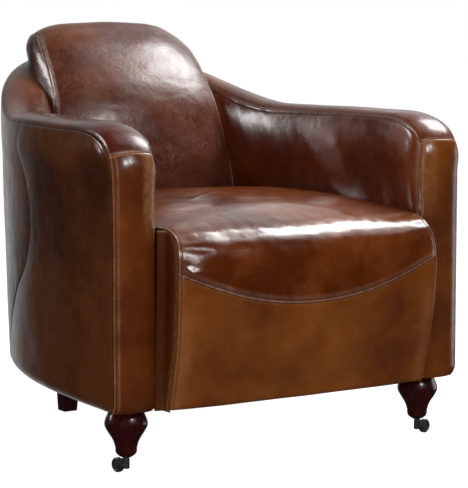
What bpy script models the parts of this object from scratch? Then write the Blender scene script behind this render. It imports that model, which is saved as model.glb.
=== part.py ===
"""Leather club chair: wooden frame, springs, padding, sewn leather covers, turned front feet on casters.

Metres, +Z up. The origin is on the floor under the middle of the chair, and the seat opens towards -Y.
Inside the functions, "run" is the distance along the outside wall back from an arm's front, "inset" is the
depth into the wall from its outside face, and y is measured from the arm fronts until place() shifts it.
"""

import math

import bmesh
import bpy
import numpy as np

# ---- Driving dimensions ----
HALF_WIDTH = 0.3675
WALL = 0.085  # thickness of the arms and of the curved back wall
PLAN_POWER = 2.6  # 2 would be an ellipse: higher is squarer at the rear corners
PLAN_DEPTH_LOW = 0.745  # arm front to the outside back, at the body's bottom edge
PLAN_DEPTH_HIGH = 0.785  # the same at RAKE_TOP, because the back leans outwards
BODY_BOTTOM = 0.116
RAKE_TOP = 0.671
ARM_FRONT_Y = -0.3569

ARM_EDGE = 0.600  # height of the seams along the arm's top
BACK_EDGE = 0.699  # height of the same seams behind the back
SWEEP_START = 0.456  # run where the arm's top starts to rise
SWEEP_LENGTH = 0.41
CORNER_RUN = 0.12  # the arm's rounded front top corner, along the wall
CORNER_RISE = 0.072
FACING_RETURN = 0.0092  # how far an arm's front leather turns back round its inside corner
CROWN = 0.010  # how far the leather domes between two seams

LEATHER = 0.002
PANEL_INSET = 0.0060
PANEL = 0.004
FRAME_INSET = 0.0105
FRAME_THICKNESS = 0.0295
FRAME_BOTTOM = 0.120
BOARD_BOTTOM = 0.128  # underside of the panels and boards behind the leather
RAIL_HEIGHT = 0.070
ARM_RAIL_LOW = 0.490
ARM_RAIL_HIGH = 0.556
ARM_POST_INSETS = (0.0065, 0.0785)  # outer and inner face of the arm posts, within the wall
DUST_COVER_Z = 0.1190
POST_X = 0.140
POST_HALF = 0.015
POST_Y = 0.6365
POST_BOTTOM = 0.122
POST_TOP = 0.655
POST_LEAN = 0.045

SEAT_HALF = 0.271
FOAM_NOSE_HALF = 0.2665
DECK_Z = 0.292
SEAM_MIDDLE = 0.291  # height of the front panel's curved seam in the middle, where it is lowest
SEAM_RISE = 0.0655  # how much higher the same seam is at the sides

FOOT_X = 0.315
FOOT_Y = 0.049
FOOT_BOTTOM = 0.032
REAR_LEG_X = 0.14
REAR_LEG_Y = 0.600

WHEEL_RADIUS = 0.013
WHEEL_WIDTH = 0.009
WHEEL_TRAIL = 0.021
STEM_RADIUS = 0.003

SIDES = {"left": -1.0, "right": 1.0}

# ---- Finishes: sRGB colour, roughness, metallic ----
FINISHES = {
    "leather": ("#5A3020", 0.35, 0.0),
    "leather_dark": ("#432519", 0.35, 0.0),
    "beech": ("#B08A5A", 0.65, 0.0),
    "plywood": ("#C2A274", 0.7, 0.0),
    "foam": ("#E3D9B4", 0.9, 0.0),
    "hessian": ("#A58A5E", 0.95, 0.0),
    "black_cloth": ("#1B1A1A", 0.95, 0.0),
    "mahogany": ("#2E1511", 0.25, 0.0),
    "spring_steel": ("#6E7072", 0.4, 1.0),
    "caster_steel": ("#2A2B2D", 0.35, 1.0),
    "caster_rubber": ("#161616", 0.6, 0.0),
}


def linear(hex_colour):
    """sRGB hex to linear RGBA."""
    values = [int(hex_colour[i : i + 2], 16) / 255 for i in (1, 3, 5)]
    return [v / 12.92 if v <= 0.04045 else ((v + 0.055) / 1.055) ** 2.4 for v in values] + [1.0]


def finish(name, kind):
    """The sub-part's own Principled material."""
    colour, roughness, metallic = FINISHES[kind]
    material = bpy.data.materials.new(name)
    material.use_nodes = True
    shader = material.node_tree.nodes["Principled BSDF"]
    shader.inputs["Base Color"].default_value = linear(colour)
    shader.inputs["Roughness"].default_value = roughness
    shader.inputs["Metallic"].default_value = metallic
    material.diffuse_color = linear(colour)
    return material


def add_object(name, points, faces, kind, parent=None):
    """A closed mesh object from points and faces, with its normals pointing out."""
    shape = bmesh.new()
    corners = [shape.verts.new(p) for p in points]
    for face in faces:
        shape.faces.new([corners[i] for i in face])
    bmesh.ops.recalc_face_normals(shape, faces=shape.faces)
    mesh = bpy.data.meshes.new(name)
    shape.to_mesh(mesh)
    shape.free()
    mesh.shade_smooth()
    mesh.set_sharp_from_angle(angle=math.radians(35))
    mesh.materials.append(finish(name, kind))
    piece = bpy.data.objects.new(name, mesh)
    bpy.context.collection.objects.link(piece)
    piece.parent = parent
    return piece


def add_empty(name, location, turn=0.0, parent=None):
    """A marker that pieces hang on: the chair itself, or a joint's axis."""
    marker = bpy.data.objects.new(name, None)
    marker.location = location
    marker.rotation_euler = (0.0, 0.0, turn)
    marker.parent = parent
    bpy.context.collection.objects.link(marker)
    return marker


# ---- Solids from points ----
def loft(name, sections, kind, parent=None):
    """A solid through closed sections that all have the same number of points."""
    count = len(sections[0])
    points = [p for section in sections for p in section]
    faces = [list(range(count)), list(range(len(points) - count, len(points)))]
    for row in range(len(sections) - 1):
        for i in range(count):
            j = (i + 1) % count
            faces.append([row * count + i, row * count + j, (row + 1) * count + j, (row + 1) * count + i])
    return add_object(name, points, faces, kind, parent)


def normals(grid):
    """Unit normals of a grid of points, from its own rows and columns."""
    along = np.gradient(grid, axis=0)
    across = np.gradient(grid, axis=1)
    normal = np.cross(along, across)
    return normal / np.linalg.norm(normal, axis=2, keepdims=True)


def skin(name, grid, depth, thickness, kind, parent=None):
    """A sheet on a grid of points, from depth to depth plus thickness below it, closed at its edges."""
    grid = np.array(grid, float)
    rows, columns = grid.shape[:2]
    inward = normals(grid)
    layers = [grid + inward * depth, grid + inward * (depth + thickness)]
    points = [p for layer in layers for p in layer.reshape(-1, 3)]
    faces = []
    for side in range(2):
        base = side * rows * columns
        for i in range(rows - 1):
            for j in range(columns - 1):
                a = base + i * columns + j
                faces.append([a, a + 1, a + columns + 1, a + columns])
    rim = [i * columns for i in range(rows)]
    rim += [(rows - 1) * columns + j for j in range(1, columns)]
    rim += [i * columns + columns - 1 for i in range(rows - 2, -1, -1)]
    rim += list(range(columns - 2, 0, -1))
    for i, a in enumerate(rim):
        b = rim[(i + 1) % len(rim)]
        faces.append([a, b, b + rows * columns, a + rows * columns])
    return add_object(name, points, faces, kind, parent)


def box(name, low, high, kind, parent=None, lean=0.0):
    """A block between two corners. lean moves its top along Y, so that the block leans."""
    (x0, y0, z0), (x1, y1, z1) = low, high
    bottom = [place(x, y, z0) for x, y in ((x0, y0), (x1, y0), (x1, y1), (x0, y1))]
    top = [place(x, y + lean, z1) for x, y in ((x0, y0), (x1, y0), (x1, y1), (x0, y1))]
    return loft(name, [bottom, top], kind, parent)


def turned(name, profile, segments, kind, location=(0, 0, 0), parent=None):
    """A turned piece from (radius, height) pairs: solid if they start on the axis, otherwise a ring."""
    on_axis = profile[0][0] == 0
    ring = profile[1:-1] if on_axis else profile
    points = []
    for k in range(segments):
        angle = 2 * math.pi * (k + 0.5) / segments
        points += [(r * math.cos(angle), r * math.sin(angle), z) for r, z in ring]
    size = len(ring)
    faces = []
    for k in range(segments):
        here = k * size
        there = (k + 1) % segments * size
        for i in range(size - 1 if on_axis else size):
            j = (i + 1) % size
            faces.append([here + i, there + i, there + j, here + j])
    if on_axis:
        for end in (0, size - 1):
            faces.append([k * size + end for k in range(segments)])
    piece = add_object(name, points, faces, kind, parent)
    piece.location = location
    return piece


def tube(name, path, radius, sides, kind, parent=None):
    """A wire along a path of points, with flat ends."""
    path = np.array(path, float)
    tangents = np.gradient(path, axis=0)
    tangents /= np.linalg.norm(tangents, axis=1, keepdims=True)
    sections = []
    for point, tangent in zip(path, tangents):
        level = np.cross(tangent, (0.0, 0.0, 1.0))
        level /= np.linalg.norm(level)
        rise = np.cross(level, tangent)
        angles = [2 * math.pi * (k + 0.5) / sides for k in range(sides)]
        sections.append([point + radius * (math.cos(a) * level + math.sin(a) * rise) for a in angles])
    return loft(name, sections, kind, parent)


# ---- The curved wall ----
def place(x, y, z):
    """From distances behind the arm fronts to the chair's own frame."""
    return np.array([x, ARM_FRONT_Y + y, z])


def smooth_step(value):
    value = min(1.0, max(0.0, value))
    return value * value * (3 - 2 * value)


def plan_depth(z):
    """How far the outside back is behind the arm fronts at a height."""
    up = (z - BODY_BOTTOM) / (RAKE_TOP - BODY_BOTTOM)
    return PLAN_DEPTH_LOW + (PLAN_DEPTH_HIGH - PLAN_DEPTH_LOW) * up


def plan_table():
    """Run along the wall against the plan curve's angle, at mid-height."""
    angles = np.linspace(0, math.pi / 2, 400)
    x = HALF_WIDTH * np.cos(angles) ** (2 / PLAN_POWER)
    y = plan_depth(0.4) * np.sin(angles) ** (2 / PLAN_POWER)
    steps = np.hypot(np.diff(x), np.diff(y))
    return np.concatenate([[0.0], np.cumsum(steps)]), angles


RUNS, ANGLES = plan_table()
WALL_LENGTH = float(RUNS[-1])  # from one arm's front to the middle of the back


def wall(side, run, z, inset):
    """A point in the wall. A run past the middle of the back goes on round to the other arm."""
    if run > WALL_LENGTH:
        side, run = -side, 2 * WALL_LENGTH - run
    angle = float(np.interp(run, RUNS, ANGLES))
    depth = plan_depth(z)
    x = HALF_WIDTH * math.cos(angle) ** (2 / PLAN_POWER)
    y = depth * math.sin(angle) ** (2 / PLAN_POWER)
    slope = PLAN_POWER - 1
    out = np.array([(x / HALF_WIDTH) ** slope / HALF_WIDTH, (y / depth) ** slope / depth])
    out /= np.linalg.norm(out)
    return place(side * (x - out[0] * inset), y - out[1] * inset, z)


def inside_outline(z):
    """(x, y behind the arm fronts) along the right half of the wall's inside face at one height."""
    points = [wall(1, run, z, WALL) for run in np.linspace(0, WALL_LENGTH, 120)]
    return np.array([p[0] for p in points]), np.array([p[1] - ARM_FRONT_Y for p in points])


def inside_x(y, z):
    """Half the room between the inside faces of the wall."""
    x, ys = inside_outline(z)
    return float(np.interp(y, ys, x))


def inside_y(x, z):
    """How far back the inside face of the wall is at a distance from the middle."""
    xs, y = inside_outline(z)
    return float(np.interp(-x, -xs, y))


def edge_height(run):
    """Height of the seam along the top of the wall: a rounded front corner, level, then the sweep up."""
    run = min(run, 2 * WALL_LENGTH - run)
    if run < CORNER_RUN:
        cosine = max(0.0, 1 - run / CORNER_RUN) ** 1.2
        return ARM_EDGE - CORNER_RISE + CORNER_RISE * math.sqrt(1 - cosine * cosine) ** (1 / 1.2)
    return ARM_EDGE + (BACK_EDGE - ARM_EDGE) * smooth_step((run - SWEEP_START) / SWEEP_LENGTH)


def tuck(z):
    """The covers turn under at the body's bottom edge."""
    return 0.012 * max(0.0, 1 - (z - BODY_BOTTOM) / 0.02) ** 2


def rim(step):
    """(run, height) along an arm: step 0 to 1 is up its front, 1 to 2 its corner, and the rest its top."""
    corner_base = ARM_EDGE - CORNER_RISE
    if step <= 1:
        return 0.0, BODY_BOTTOM + (corner_base - BODY_BOTTOM) * step
    if step <= 2:
        angle = (step - 1) * math.pi / 2
        run = CORNER_RUN * (1 - max(0.0, math.cos(angle)) ** (1 / 1.2))
        return run, corner_base + CORNER_RISE * math.sin(angle) ** (1 / 1.2)
    run = CORNER_RUN + (step - 2)
    return run, edge_height(run)


def rim_point(side, step, across, depth=0.0):
    """On the domed leather of an arm's front and top: across runs from 0, outside seam, to 1, inside seam."""
    small = 0.004
    run, z = rim(step)
    if across > 1:  # the facing's return round the arm's inside corner
        return wall(side, run + (FACING_RETURN - run) * (across - 1), z, WALL - depth)
    run_0, z_0 = rim(step - small)
    run_1, z_1 = rim(step + small)
    length = math.hypot(run_1 - run_0, z_1 - z_0)
    back, rise = (run_1 - run_0) / length, (z_1 - z_0) / length
    along = wall(side, run + 0.002, z, WALL * across) - wall(side, run, z, WALL * across)
    along /= np.linalg.norm(along)
    dome = CROWN * (1 - abs(2 * across - 1) ** 2.4) - depth
    return wall(side, run, z, WALL * across) + dome * (np.array([0, 0, back]) - rise * along)


def wall_grid(side, runs, heights, inset):
    """Grid of points on the wall: heights is a function of run that gives one column's heights."""
    return [[wall(side, run, z, inset + tuck(z)) for z in heights(run)] for run in runs]


def wall_block(name, side, runs, kind, parent, low, high, inset, thickness):
    """A board that follows the wall: low and high are functions of run."""
    sections = []
    for run in runs:
        outer = [wall(side, run, z, inset) for z in (low(run), high(run))]
        inner = [wall(side, run, z, inset + thickness) for z in (high(run), low(run))]
        sections.append(outer + inner)
    return loft(name, sections, kind, parent)


ARM_RUNS = [0.0, 0.02, 0.05, 0.09, 0.14, 0.22, 0.30, 0.38, 0.46]
CURVE_RUNS = [0.46, 0.53, 0.59, 0.65, 0.71, 0.77, 0.83, 0.90, WALL_LENGTH]
ARM_TOP_RUNS = [0.042, 0.065, 0.09, 0.14, 0.22, 0.30, 0.38, 0.46, 0.53, 0.59]
OUTSIDE_SEAM_RUN = 0.38


def round_the_back(runs):
    """Runs that go on round to the same place on the other side."""
    return list(runs) + [2 * WALL_LENGTH - run for run in reversed(runs[:-1])]


# ---- The seat's surface ----
SEAT_TOP = [  # (y, z) at the side seam, then the same in the middle, from the back to the nose
    ((0.506, 0.436), (0.486, 0.444)),
    ((0.380, 0.441), (0.380, 0.456)),
    ((0.240, 0.436), (0.240, 0.462)),
    ((0.120, 0.431), (0.120, 0.459)),
    ((0.030, 0.430), (0.030, 0.446)),
    ((-0.016, 0.428), (-0.016, 0.432)),
    ((-0.041, 0.4145), (-0.0500, 0.4130)),
    ((-0.0580, 0.390), (-0.0665, 0.389)),
]
APRON_HEIGHTS = (0.118, 0.160, 0.225, 0.300, 0.354, 0.386)
APRON_SIDE = (-0.025, -0.035, -0.052, -0.061, -0.064, -0.060)
APRON_MIDDLE = (-0.034, -0.044, -0.060, -0.070, -0.0715, -0.067)
SEAT_ACROSS = [-1.0, -0.86, -0.6, -0.3, 0.0, 0.3, 0.6, 0.86, 1.0]
NOSE_UNDER = ((-0.017, 0.262), (0.0088, 0.262), (0.0125, 0.344))  # (y, half width) of the cloth there
SEAT_GAP = 0.0035  # between the seat and the inside of the arms


def crowned(side, middle, across):
    """Between a value at the side seams and one in the middle, on a soft crown."""
    return side + (middle - side) * (1 - abs(across) ** 2.6)


def seat_top_point(across, row):
    """A point on the seat's top: across is -1 to 1 between the side seams."""
    (side_y, side_z), (middle_y, middle_z) = SEAT_TOP[row]
    y, z = crowned(side_y, middle_y, across), crowned(side_z, middle_z, across)
    half = SEAT_HALF
    if y > 0:
        half += (inside_x(y, z) - SEAT_GAP - SEAT_HALF) * smooth_step(y / 0.05)
    return place(half * across, y, z)


def seam_height(across):
    """Height of the curved seam between the seat's top and the front panel."""
    return SEAM_MIDDLE + SEAM_RISE * across * across


def apron_point(across, z):
    """A point on the front panel."""
    y = crowned(np.interp(z, APRON_HEIGHTS, APRON_SIDE), np.interp(z, APRON_HEIGHTS, APRON_MIDDLE), across)
    return place(SEAT_HALF * across, y, z)


# ---- The inner back's surface ----
BACK_PROFILE = [  # z, half width, side seam y, middle y, rear y of the padding
    (0.300, 0.203, 0.520, 0.502, 0.645),
    (0.435, 0.203, 0.524, 0.494, 0.655),
    (0.500, 0.197, 0.529, 0.494, 0.660),
    (0.560, 0.188, 0.543, 0.505, 0.664),
    (0.620, 0.179, 0.561, 0.526, 0.669),
    (0.670, 0.172, 0.594, 0.556, 0.672),
    (0.705, 0.166, 0.628, 0.588, 0.676),
    (0.7235, 0.159, 0.648, 0.616, 0.750),
    (0.7375, 0.146, 0.661, 0.659, 0.744),
]
SHELL_ROWS = 7  # rows below this height sit inside the curved wall, and the rest stand above it
ROLL = [  # the head roll from its top front seam: front seam, crown and rear edge, each (x, y, z)
    ((0.1590, 0.650, 0.7240), (0.1630, 0.705, 0.7380), (0.1610, 0.755, 0.7160)),
    ((0.1460, 0.661, 0.7375), (0.1490, 0.709, 0.7580), (0.1490, 0.758, 0.7155)),
    ((0.1100, 0.661, 0.7390), (0.1120, 0.712, 0.7675), (0.1120, 0.761, 0.7150)),
    ((0.0500, 0.661, 0.7395), (0.0500, 0.714, 0.7705), (0.0500, 0.763, 0.7145)),
    ((0.0000, 0.661, 0.7395), (0.0000, 0.714, 0.7710), (0.0000, 0.7635, 0.7145)),
]
BACK_ACROSS = [-1.0, -0.7, -0.35, 0.0, 0.35, 0.7, 1.0]


def back_front(row, inward=0.0):
    """Points across the inner back's front at one height."""
    z, half, side_y, middle_y, _ = row
    points = []
    for across in BACK_ACROSS:
        y = side_y + (middle_y - side_y) * (1 - abs(across) ** 2.2)
        points.append(place((half - inward) * across, y + inward, z))
    return points


# ---- The pieces ----
def wooden_frame(chair):
    """Base rails, arm posts and rails, back posts and their crest, panels and glue blocks."""
    base_top = FRAME_BOTTOM + RAIL_HEIGHT
    rear_runs = round_the_back([0.4625] + CURVE_RUNS[1:])
    level = lambda height: lambda run: height
    panel_top = lambda run: edge_height(run) - 0.014
    rail = {"low": level(FRAME_BOTTOM), "high": level(base_top), "inset": FRAME_INSET}
    rail["thickness"] = FRAME_THICKNESS
    arm_rail = dict(rail, low=level(ARM_RAIL_LOW), high=level(ARM_RAIL_HIGH))
    panel = {"low": level(BOARD_BOTTOM), "high": panel_top, "inset": PANEL_INSET, "thickness": PANEL}
    wall_block("rear_rail", 1, rear_runs, "beech", chair, **rail)
    wall_block("back_panel", 1, round_the_back([0.3825] + CURVE_RUNS), "plywood", chair, **panel)
    for label, side in SIDES.items():
        wall_block(f"side_rail_{label}", side, [0.040, 0.14, 0.30, 0.46], "beech", chair, **rail)
        panel_runs = [0.040, 0.09, 0.14, 0.22, 0.30, OUTSIDE_SEAM_RUN]
        wall_block(f"side_panel_{label}", side, panel_runs, "plywood", chair, **panel)
        wall_block(f"arm_rail_{label}", side, ARM_TOP_RUNS, "beech", chair, **arm_rail)
        arm_post(f"arm_post_{label}", side, chair)
        post_low = (side * POST_X - POST_HALF, POST_Y, POST_BOTTOM)
        post_high = (side * POST_X + POST_HALF, POST_Y + 0.028, POST_TOP)
        box(f"back_post_{label}", post_low, post_high, "beech", chair, lean=POST_LEAN)
        front_block = [(0.2850, 0.0370), (0.3255, 0.0370), (0.3255, 0.1050), (0.3120, 0.1050)]
        rear_block = [(0.112, 0.575), (0.168, 0.575), (0.168, 0.635), (0.112, 0.635)]
        for where, outline in (("front", front_block), ("rear", rear_block)):
            heights = (FRAME_BOTTOM, FRAME_BOTTOM + 0.045)
            corners = [[place(side * x, y, z) for x, y in outline] for z in heights]
            loft(f"corner_block_{where}_{label}", corners, "beech", chair)
    box("front_rail", (-0.288, 0.010, BOARD_BOTTOM), (0.288, 0.0335, 0.250), "beech", chair)
    box("nose_board", (-0.262, -0.0165, 0.126), (0.262, 0.0075, 0.262), "plywood", chair, lean=-0.030)
    box("seat_rear_rail", (-0.235, 0.552, 0.200), (0.235, 0.574, 0.262), "beech", chair)
    crest_y = post_front(0.610)
    reach = POST_X - POST_HALF - 0.0003
    box("crest_rail", (-reach, crest_y, 0.610), (reach, crest_y + 0.026, 0.652), "beech", chair, lean=0.0035)


def post_front(z):
    """Front face of the leaning back posts at a height."""
    return POST_Y + POST_LEAN * (z - POST_BOTTOM) / (POST_TOP - POST_BOTTOM)


def arm_post(name, side, chair):
    """The upright board at an arm's front, rounded at its top as the arm is."""
    outline = [(0.010, BOARD_BOTTOM), (0.010, 0.528), (0.014, 0.550), (0.022, 0.566), (0.036, 0.576)]
    outline += [(0.036, BOARD_BOTTOM)]
    sections = [[wall(side, run, z, inset) for run, z in outline] for inset in ARM_POST_INSETS]
    loft(name, sections, "beech", chair)


def springs_and_webs(chair):
    """Zigzag seat springs, back webbing and the cloth that keeps the padding off the springs."""
    bends = 11
    for number, middle in enumerate((-0.18, -0.06, 0.06, 0.18), start=1):
        path = []
        for k in range(4 * bends + 1):
            along = k / (4 * bends)
            swing = 0.024 * math.sin(math.pi * bends * along)
            height = 0.268 + 0.014 * math.sin(math.pi * along)
            path.append(place(middle + swing, 0.016 + 0.550 * along, height))
        tube(f"seat_spring_{number}", path, 0.0018, 4, "spring_steel", chair)
    deck = [[place(x, y, DECK_Z) for x in (-0.255, 0.0, 0.255)] for y in (0.03, 0.25, 0.49)]
    skin("deck_cloth", deck, 0.0, 0.002, "hessian", chair)
    for number, z in enumerate((0.400, 0.540), start=1):
        y = post_front(z) - 0.0030
        lean = post_front(z + 0.05) - post_front(z)
        reach = POST_X + POST_HALF
        box(f"back_web_{number}", (-reach, y, z), (reach, y + 0.0025, z + 0.05), "hessian", chair, lean=lean)


def padding(chair):
    """Seat, inner back and arm padding, one solid each."""
    sections = []
    for across in SEAT_ACROSS:
        top = [seat_top_point(across, row) for row in range(len(SEAT_TOP))]
        top += [apron_point(across, z) for z in (0.350, 0.304)]
        below = [0.0045] * 4 + [0.0035] * 2 + [0.0025, 0.0015, 0.0, 0.0]
        behind = [-0.002] * 4 + [0.0, 0.001, 0.0025, 0.0030, 0.0035, 0.0035]
        section = [p * (0.985, 1, 1) + (0, y, -z) for p, y, z in zip(top, behind, below)]
        for point in section[3:]:  # the nose narrows for the gussets
            point[0] = FOAM_NOSE_HALF * across
        rear_half = inside_x(0.482, 0.296) - SEAT_GAP
        rear_half = min(FOAM_NOSE_HALF, rear_half)
        for half, y in ((FOAM_NOSE_HALF, -0.045), (FOAM_NOSE_HALF, 0.30), (rear_half, 0.482)):
            section.append(place(half * across, y, 0.296))
        sections.append(section)
    loft("seat_foam", sections, "foam", chair)

    sections = []
    for number, row in enumerate(BACK_PROFILE):
        z, half, _, _, rear = row
        in_shell = number < SHELL_ROWS
        room = inside_x(rear, z) - 0.003 if in_shell else half
        side_y = min(rear, inside_y(half, z)) if in_shell else rear
        ends = [place(half - 0.0045, side_y - 0.012, z), place(min(half - 0.006, room), rear - 0.005, z)]
        ends += [p * (-1, 1, 1) for p in reversed(ends)]
        drop = 0.0 if in_shell else 0.003
        sections.append([p - (0, 0, drop) for p in back_front(row, inward=0.0055) + ends])
    top_front = [place(across * 0.125, 0.690, 0.751) for across in BACK_ACROSS]
    rear_corners = ((0.127, 0.700), (0.124, 0.718), (-0.124, 0.718), (-0.127, 0.700))
    top_rear = [place(x, y, 0.751) for x, y in rear_corners]
    sections.append(top_front + top_rear)
    loft("back_foam", sections, "foam", chair)

    for label, side in SIDES.items():
        sections = []
        for run in ARM_TOP_RUNS:
            edge = edge_height(run)
            inner = WALL - LEATHER - 0.0010
            outline = [(0.4005, inner), (edge - 0.003, inner), (edge + 0.0035, 0.066)]
            outline += [(edge + 0.0065, WALL / 2), (edge + 0.0035, 0.019), (edge - 0.003, 0.0105)]
            outline += [(0.5575, 0.0105), (0.5575, 0.0405), (0.4005, 0.0405)]
            sections.append([wall(side, run, z, inset) for z, inset in outline])
        loft(f"arm_foam_{label}", sections, "foam", chair)


def wall_covers(chair):
    """Leather outside the arms and back, over the arms' fronts and tops, and inside the arms."""
    heights = lambda run: [BODY_BOTTOM, 0.121, 0.136, 0.30, 0.45, cover_top(run)]
    seam_runs = [OUTSIDE_SEAM_RUN + 0.0005] + CURVE_RUNS
    add_wall_skin("outside_back_cover", 1, round_the_back(seam_runs), heights, 0.0, "leather_dark", chair)
    inside_runs = [0.0115] + ARM_RUNS[1:] + [0.53, 0.59, 0.65]
    inside_heights = lambda run: [0.255 if run < 0.06 else 0.405, 0.50, cover_top(run)]
    for label, side in SIDES.items():
        arm_runs = [0.004] + [run for run in ARM_RUNS if 0 < run < OUTSIDE_SEAM_RUN] + [OUTSIDE_SEAM_RUN]
        add_wall_skin(f"outside_arm_cover_{label}", side, arm_runs, heights, 0.0, "leather_dark", chair)
        inside = (inside_runs, inside_heights, WALL - LEATHER, "leather")
        add_wall_skin(f"inside_arm_cover_{label}", side, *inside, chair)
        facing_steps = [0.0, 0.5, 0.9, 1.0, 1.12, 1.25]
        band_steps = [1.26, 1.4, 1.55, 1.7, 1.85, 2.0] + [2 + run - CORNER_RUN for run in ARM_RUNS[5:]]
        band_steps += [2 + run - CORNER_RUN for run in CURVE_RUNS[1:-1]]
        band_steps += [2 + WALL_LENGTH - CORNER_RUN - 0.001]
        across_band = [0.0, 0.1, 0.25, 0.5, 0.75, 0.9, 1.0]
        for name, steps, across in (
            ("arm_facing", facing_steps, across_band + [2.0]),
            ("arm_band", band_steps, across_band),
        ):
            outer = [[rim_point(side, step, a) for a in across] for step in steps]
            inner = [[rim_point(side, step, a, LEATHER) for a in across] for step in steps]
            add_layers(f"{name}_{label}", outer, inner, "leather", chair)


def cover_top(run):
    """Top edge of the covers on the wall's faces, just clear of the leather over the arm's top."""
    return edge_height(max(0.0, run - 0.0045)) - 0.0045


def add_layers(name, outer, inner, kind, parent):
    """A sheet between two grids of points."""
    sections = []
    for row_out, row_in in zip(outer, inner):
        sections.append(list(row_out) + list(reversed(row_in)))
    return loft(name, sections, kind, parent)


def add_wall_skin(name, side, runs, heights, inset, kind, parent):
    outer = wall_grid(side, runs, heights, inset)
    inner = wall_grid(side, runs, heights, inset + LEATHER)
    return add_layers(name, outer, inner, kind, parent)


def seat_covers(chair):
    """The seat's top, the front panel below its curved seam, the side gussets and the cloth underneath."""
    top = [[seat_top_point(across, row) for across in SEAT_ACROSS] for row in range(len(SEAT_TOP))]
    nose_heights = [point[2] for point in top[-1]]
    for part in (0.5, 1.0):
        drops = [(seam_height(a) + 0.0005 - z) * part for a, z in zip(SEAT_ACROSS, nose_heights)]
        top.append([apron_point(a, z + drop) for a, z, drop in zip(SEAT_ACROSS, nose_heights, drops)])
    skin("seat_cover_top", top, 0.0, LEATHER, "leather", chair)
    front = []
    for part in (0.0, 0.35, 0.7, 1.0):
        tops = [seam_height(across) for across in SEAT_ACROSS]
        front.append([apron_point(a, z + (0.118 - z) * part) for a, z in zip(SEAT_ACROSS, tops)])
    skin("seat_cover_front", front, 0.0, LEATHER, "leather", chair)
    nose = [seat_top_point(1, row) for row in range(4, len(SEAT_TOP))]
    nose += [apron_point(1, z) for z in (0.354, 0.300, 0.225, 0.160, 0.118)]
    outline = [(0.045, 0.425)]
    outline += [(p[1] - ARM_FRONT_Y + 0.0042, min(p[2], 0.430) - 0.0045) for p in nose[:-1]]
    outline += [(APRON_SIDE[0] + 0.003, 0.118), (0.0085, 0.118), (0.0085, 0.2525), (0.045, 0.2525)]
    for label, side in SIDES.items():
        sections = [[place(side * x, y, z) for y, z in outline] for x in (0.2680, 0.2700)]
        loft(f"seat_gusset_{label}", sections, "leather", chair)
    under = [[place(x, y, DUST_COVER_Z) for x in (-half, 0.0, half)] for y, half in NOSE_UNDER]
    for run in (0.0425, 0.14, 0.30, 0.46, 0.59, 0.71, 0.83, 0.93):
        left, right = (wall(side, run, DUST_COVER_Z, 0.022) for side in (-1, 1))
        under.append([left, (left + right) / 2, right])
    skin("dust_cover", under, 0.0, 0.0015, "black_cloth", chair)


def back_covers(chair):
    """The inner back's front panel and the boxing strip round its sides and over its head roll."""
    skin("back_cover_front", [back_front(row) for row in BACK_PROFILE[1:]], 0.0, LEATHER, "leather", chair)
    half_path = []
    for z, half, side_y, _, _ in BACK_PROFILE[1:SHELL_ROWS]:
        front, rear = place(half, side_y + 0.004, z), place(half, inside_y(half, z) - 0.004, z)
        half_path.append((front, (front + rear) / 2 + (0.003, 0, 0), rear))
    for front, crown, rear in ROLL:
        half_path.append((place(*front) + (0, 0.003, 0.001), place(*crown), place(*rear)))
    path = half_path + [[p * (-1, 1, 1) for p in row] for row in reversed(half_path[:-1])]
    skin("back_boxing", [arc_through(row) for row in path], 0.0, LEATHER, "leather", chair)


def arc_through(row):
    """Points on the curve through three points."""
    front, middle, rear = row
    curve = []
    for t in (0.0, 0.25, 0.5, 0.75, 1.0):
        curve.append(front * (1 - t) * (1 - 2 * t) + middle * 4 * t * (1 - t) + rear * t * (2 * t - 1))
    return curve


FOOT_PROFILE = [  # (height above the foot's underside, radius), a turned vase shape
    (0.0000, 0.0120), (0.0040, 0.0165), (0.0165, 0.0193), (0.0287, 0.0233), (0.0348, 0.0267),
    (0.0410, 0.0308), (0.0470, 0.0343), (0.0530, 0.0372), (0.0593, 0.0379), (0.0654, 0.0364),
    (0.0727, 0.0334), (0.0837, 0.0280),
]  # fmt: skip
BORE_RADIUS = 0.0056
BORE_DEPTH = 0.024


def feet(chair):
    """Turned front feet, each bored for a caster's sleeve, and plain tapered rear legs."""
    profile = [(radius, height) for height, radius in FOOT_PROFILE]
    profile += [(BORE_RADIUS, FOOT_PROFILE[-1][0]), (BORE_RADIUS, 0.0)]
    for label, side in SIDES.items():
        spot = place(side * FOOT_X, FOOT_Y, FOOT_BOTTOM)
        turned(f"front_foot_{label}", profile, 24, "mahogany", spot, chair)
        bottom, top = 0.014, 0.021
        x, y = side * REAR_LEG_X, REAR_LEG_Y
        square = [(-1, -1), (1, -1), (1, 1), (-1, 1)]
        sections = [[place(x + a * bottom, y + 0.006 + b * bottom, 0.0) for a, b in square],
                    [place(x + a * top, y + b * top, BODY_BOTTOM - 0.0008) for a, b in square]]  # fmt: skip
        loft(f"rear_leg_{label}", sections, "mahogany", chair)


def fork_outline(cheek):
    """One fork cheek in the plane of the wheel: from the swivel housing down to round the axle."""
    points = [(0.002, 0.0255), (0.002, 0.0135)]
    for k in range(7):
        angle = math.radians(230 + k * 30)
        points.append((WHEEL_TRAIL + 0.0042 * math.cos(angle), WHEEL_RADIUS + 0.0042 * math.sin(angle)))
    points += [(0.0185, 0.0235), (0.010, 0.0265)]
    return [[(x, y, z) for x, z in points] for y in cheek]


def bored(piece, cutter):
    """Cut one piece with another, which the build then leaves out."""
    cutter.hide_render = True
    cutter.display_type = "WIRE"
    cut = piece.modifiers.new("bore", "BOOLEAN")
    cut.operation = "DIFFERENCE"
    cut.solver = "EXACT"
    cut.object = cutter


def joined(piece, other):
    """Join another solid to a piece. The other one is then left out of the build."""
    other.hide_render = True
    other.display_type = "WIRE"
    union = piece.modifiers.new("join", "BOOLEAN")
    union.operation = "UNION"
    union.solver = "EXACT"
    union.object = other


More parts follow.
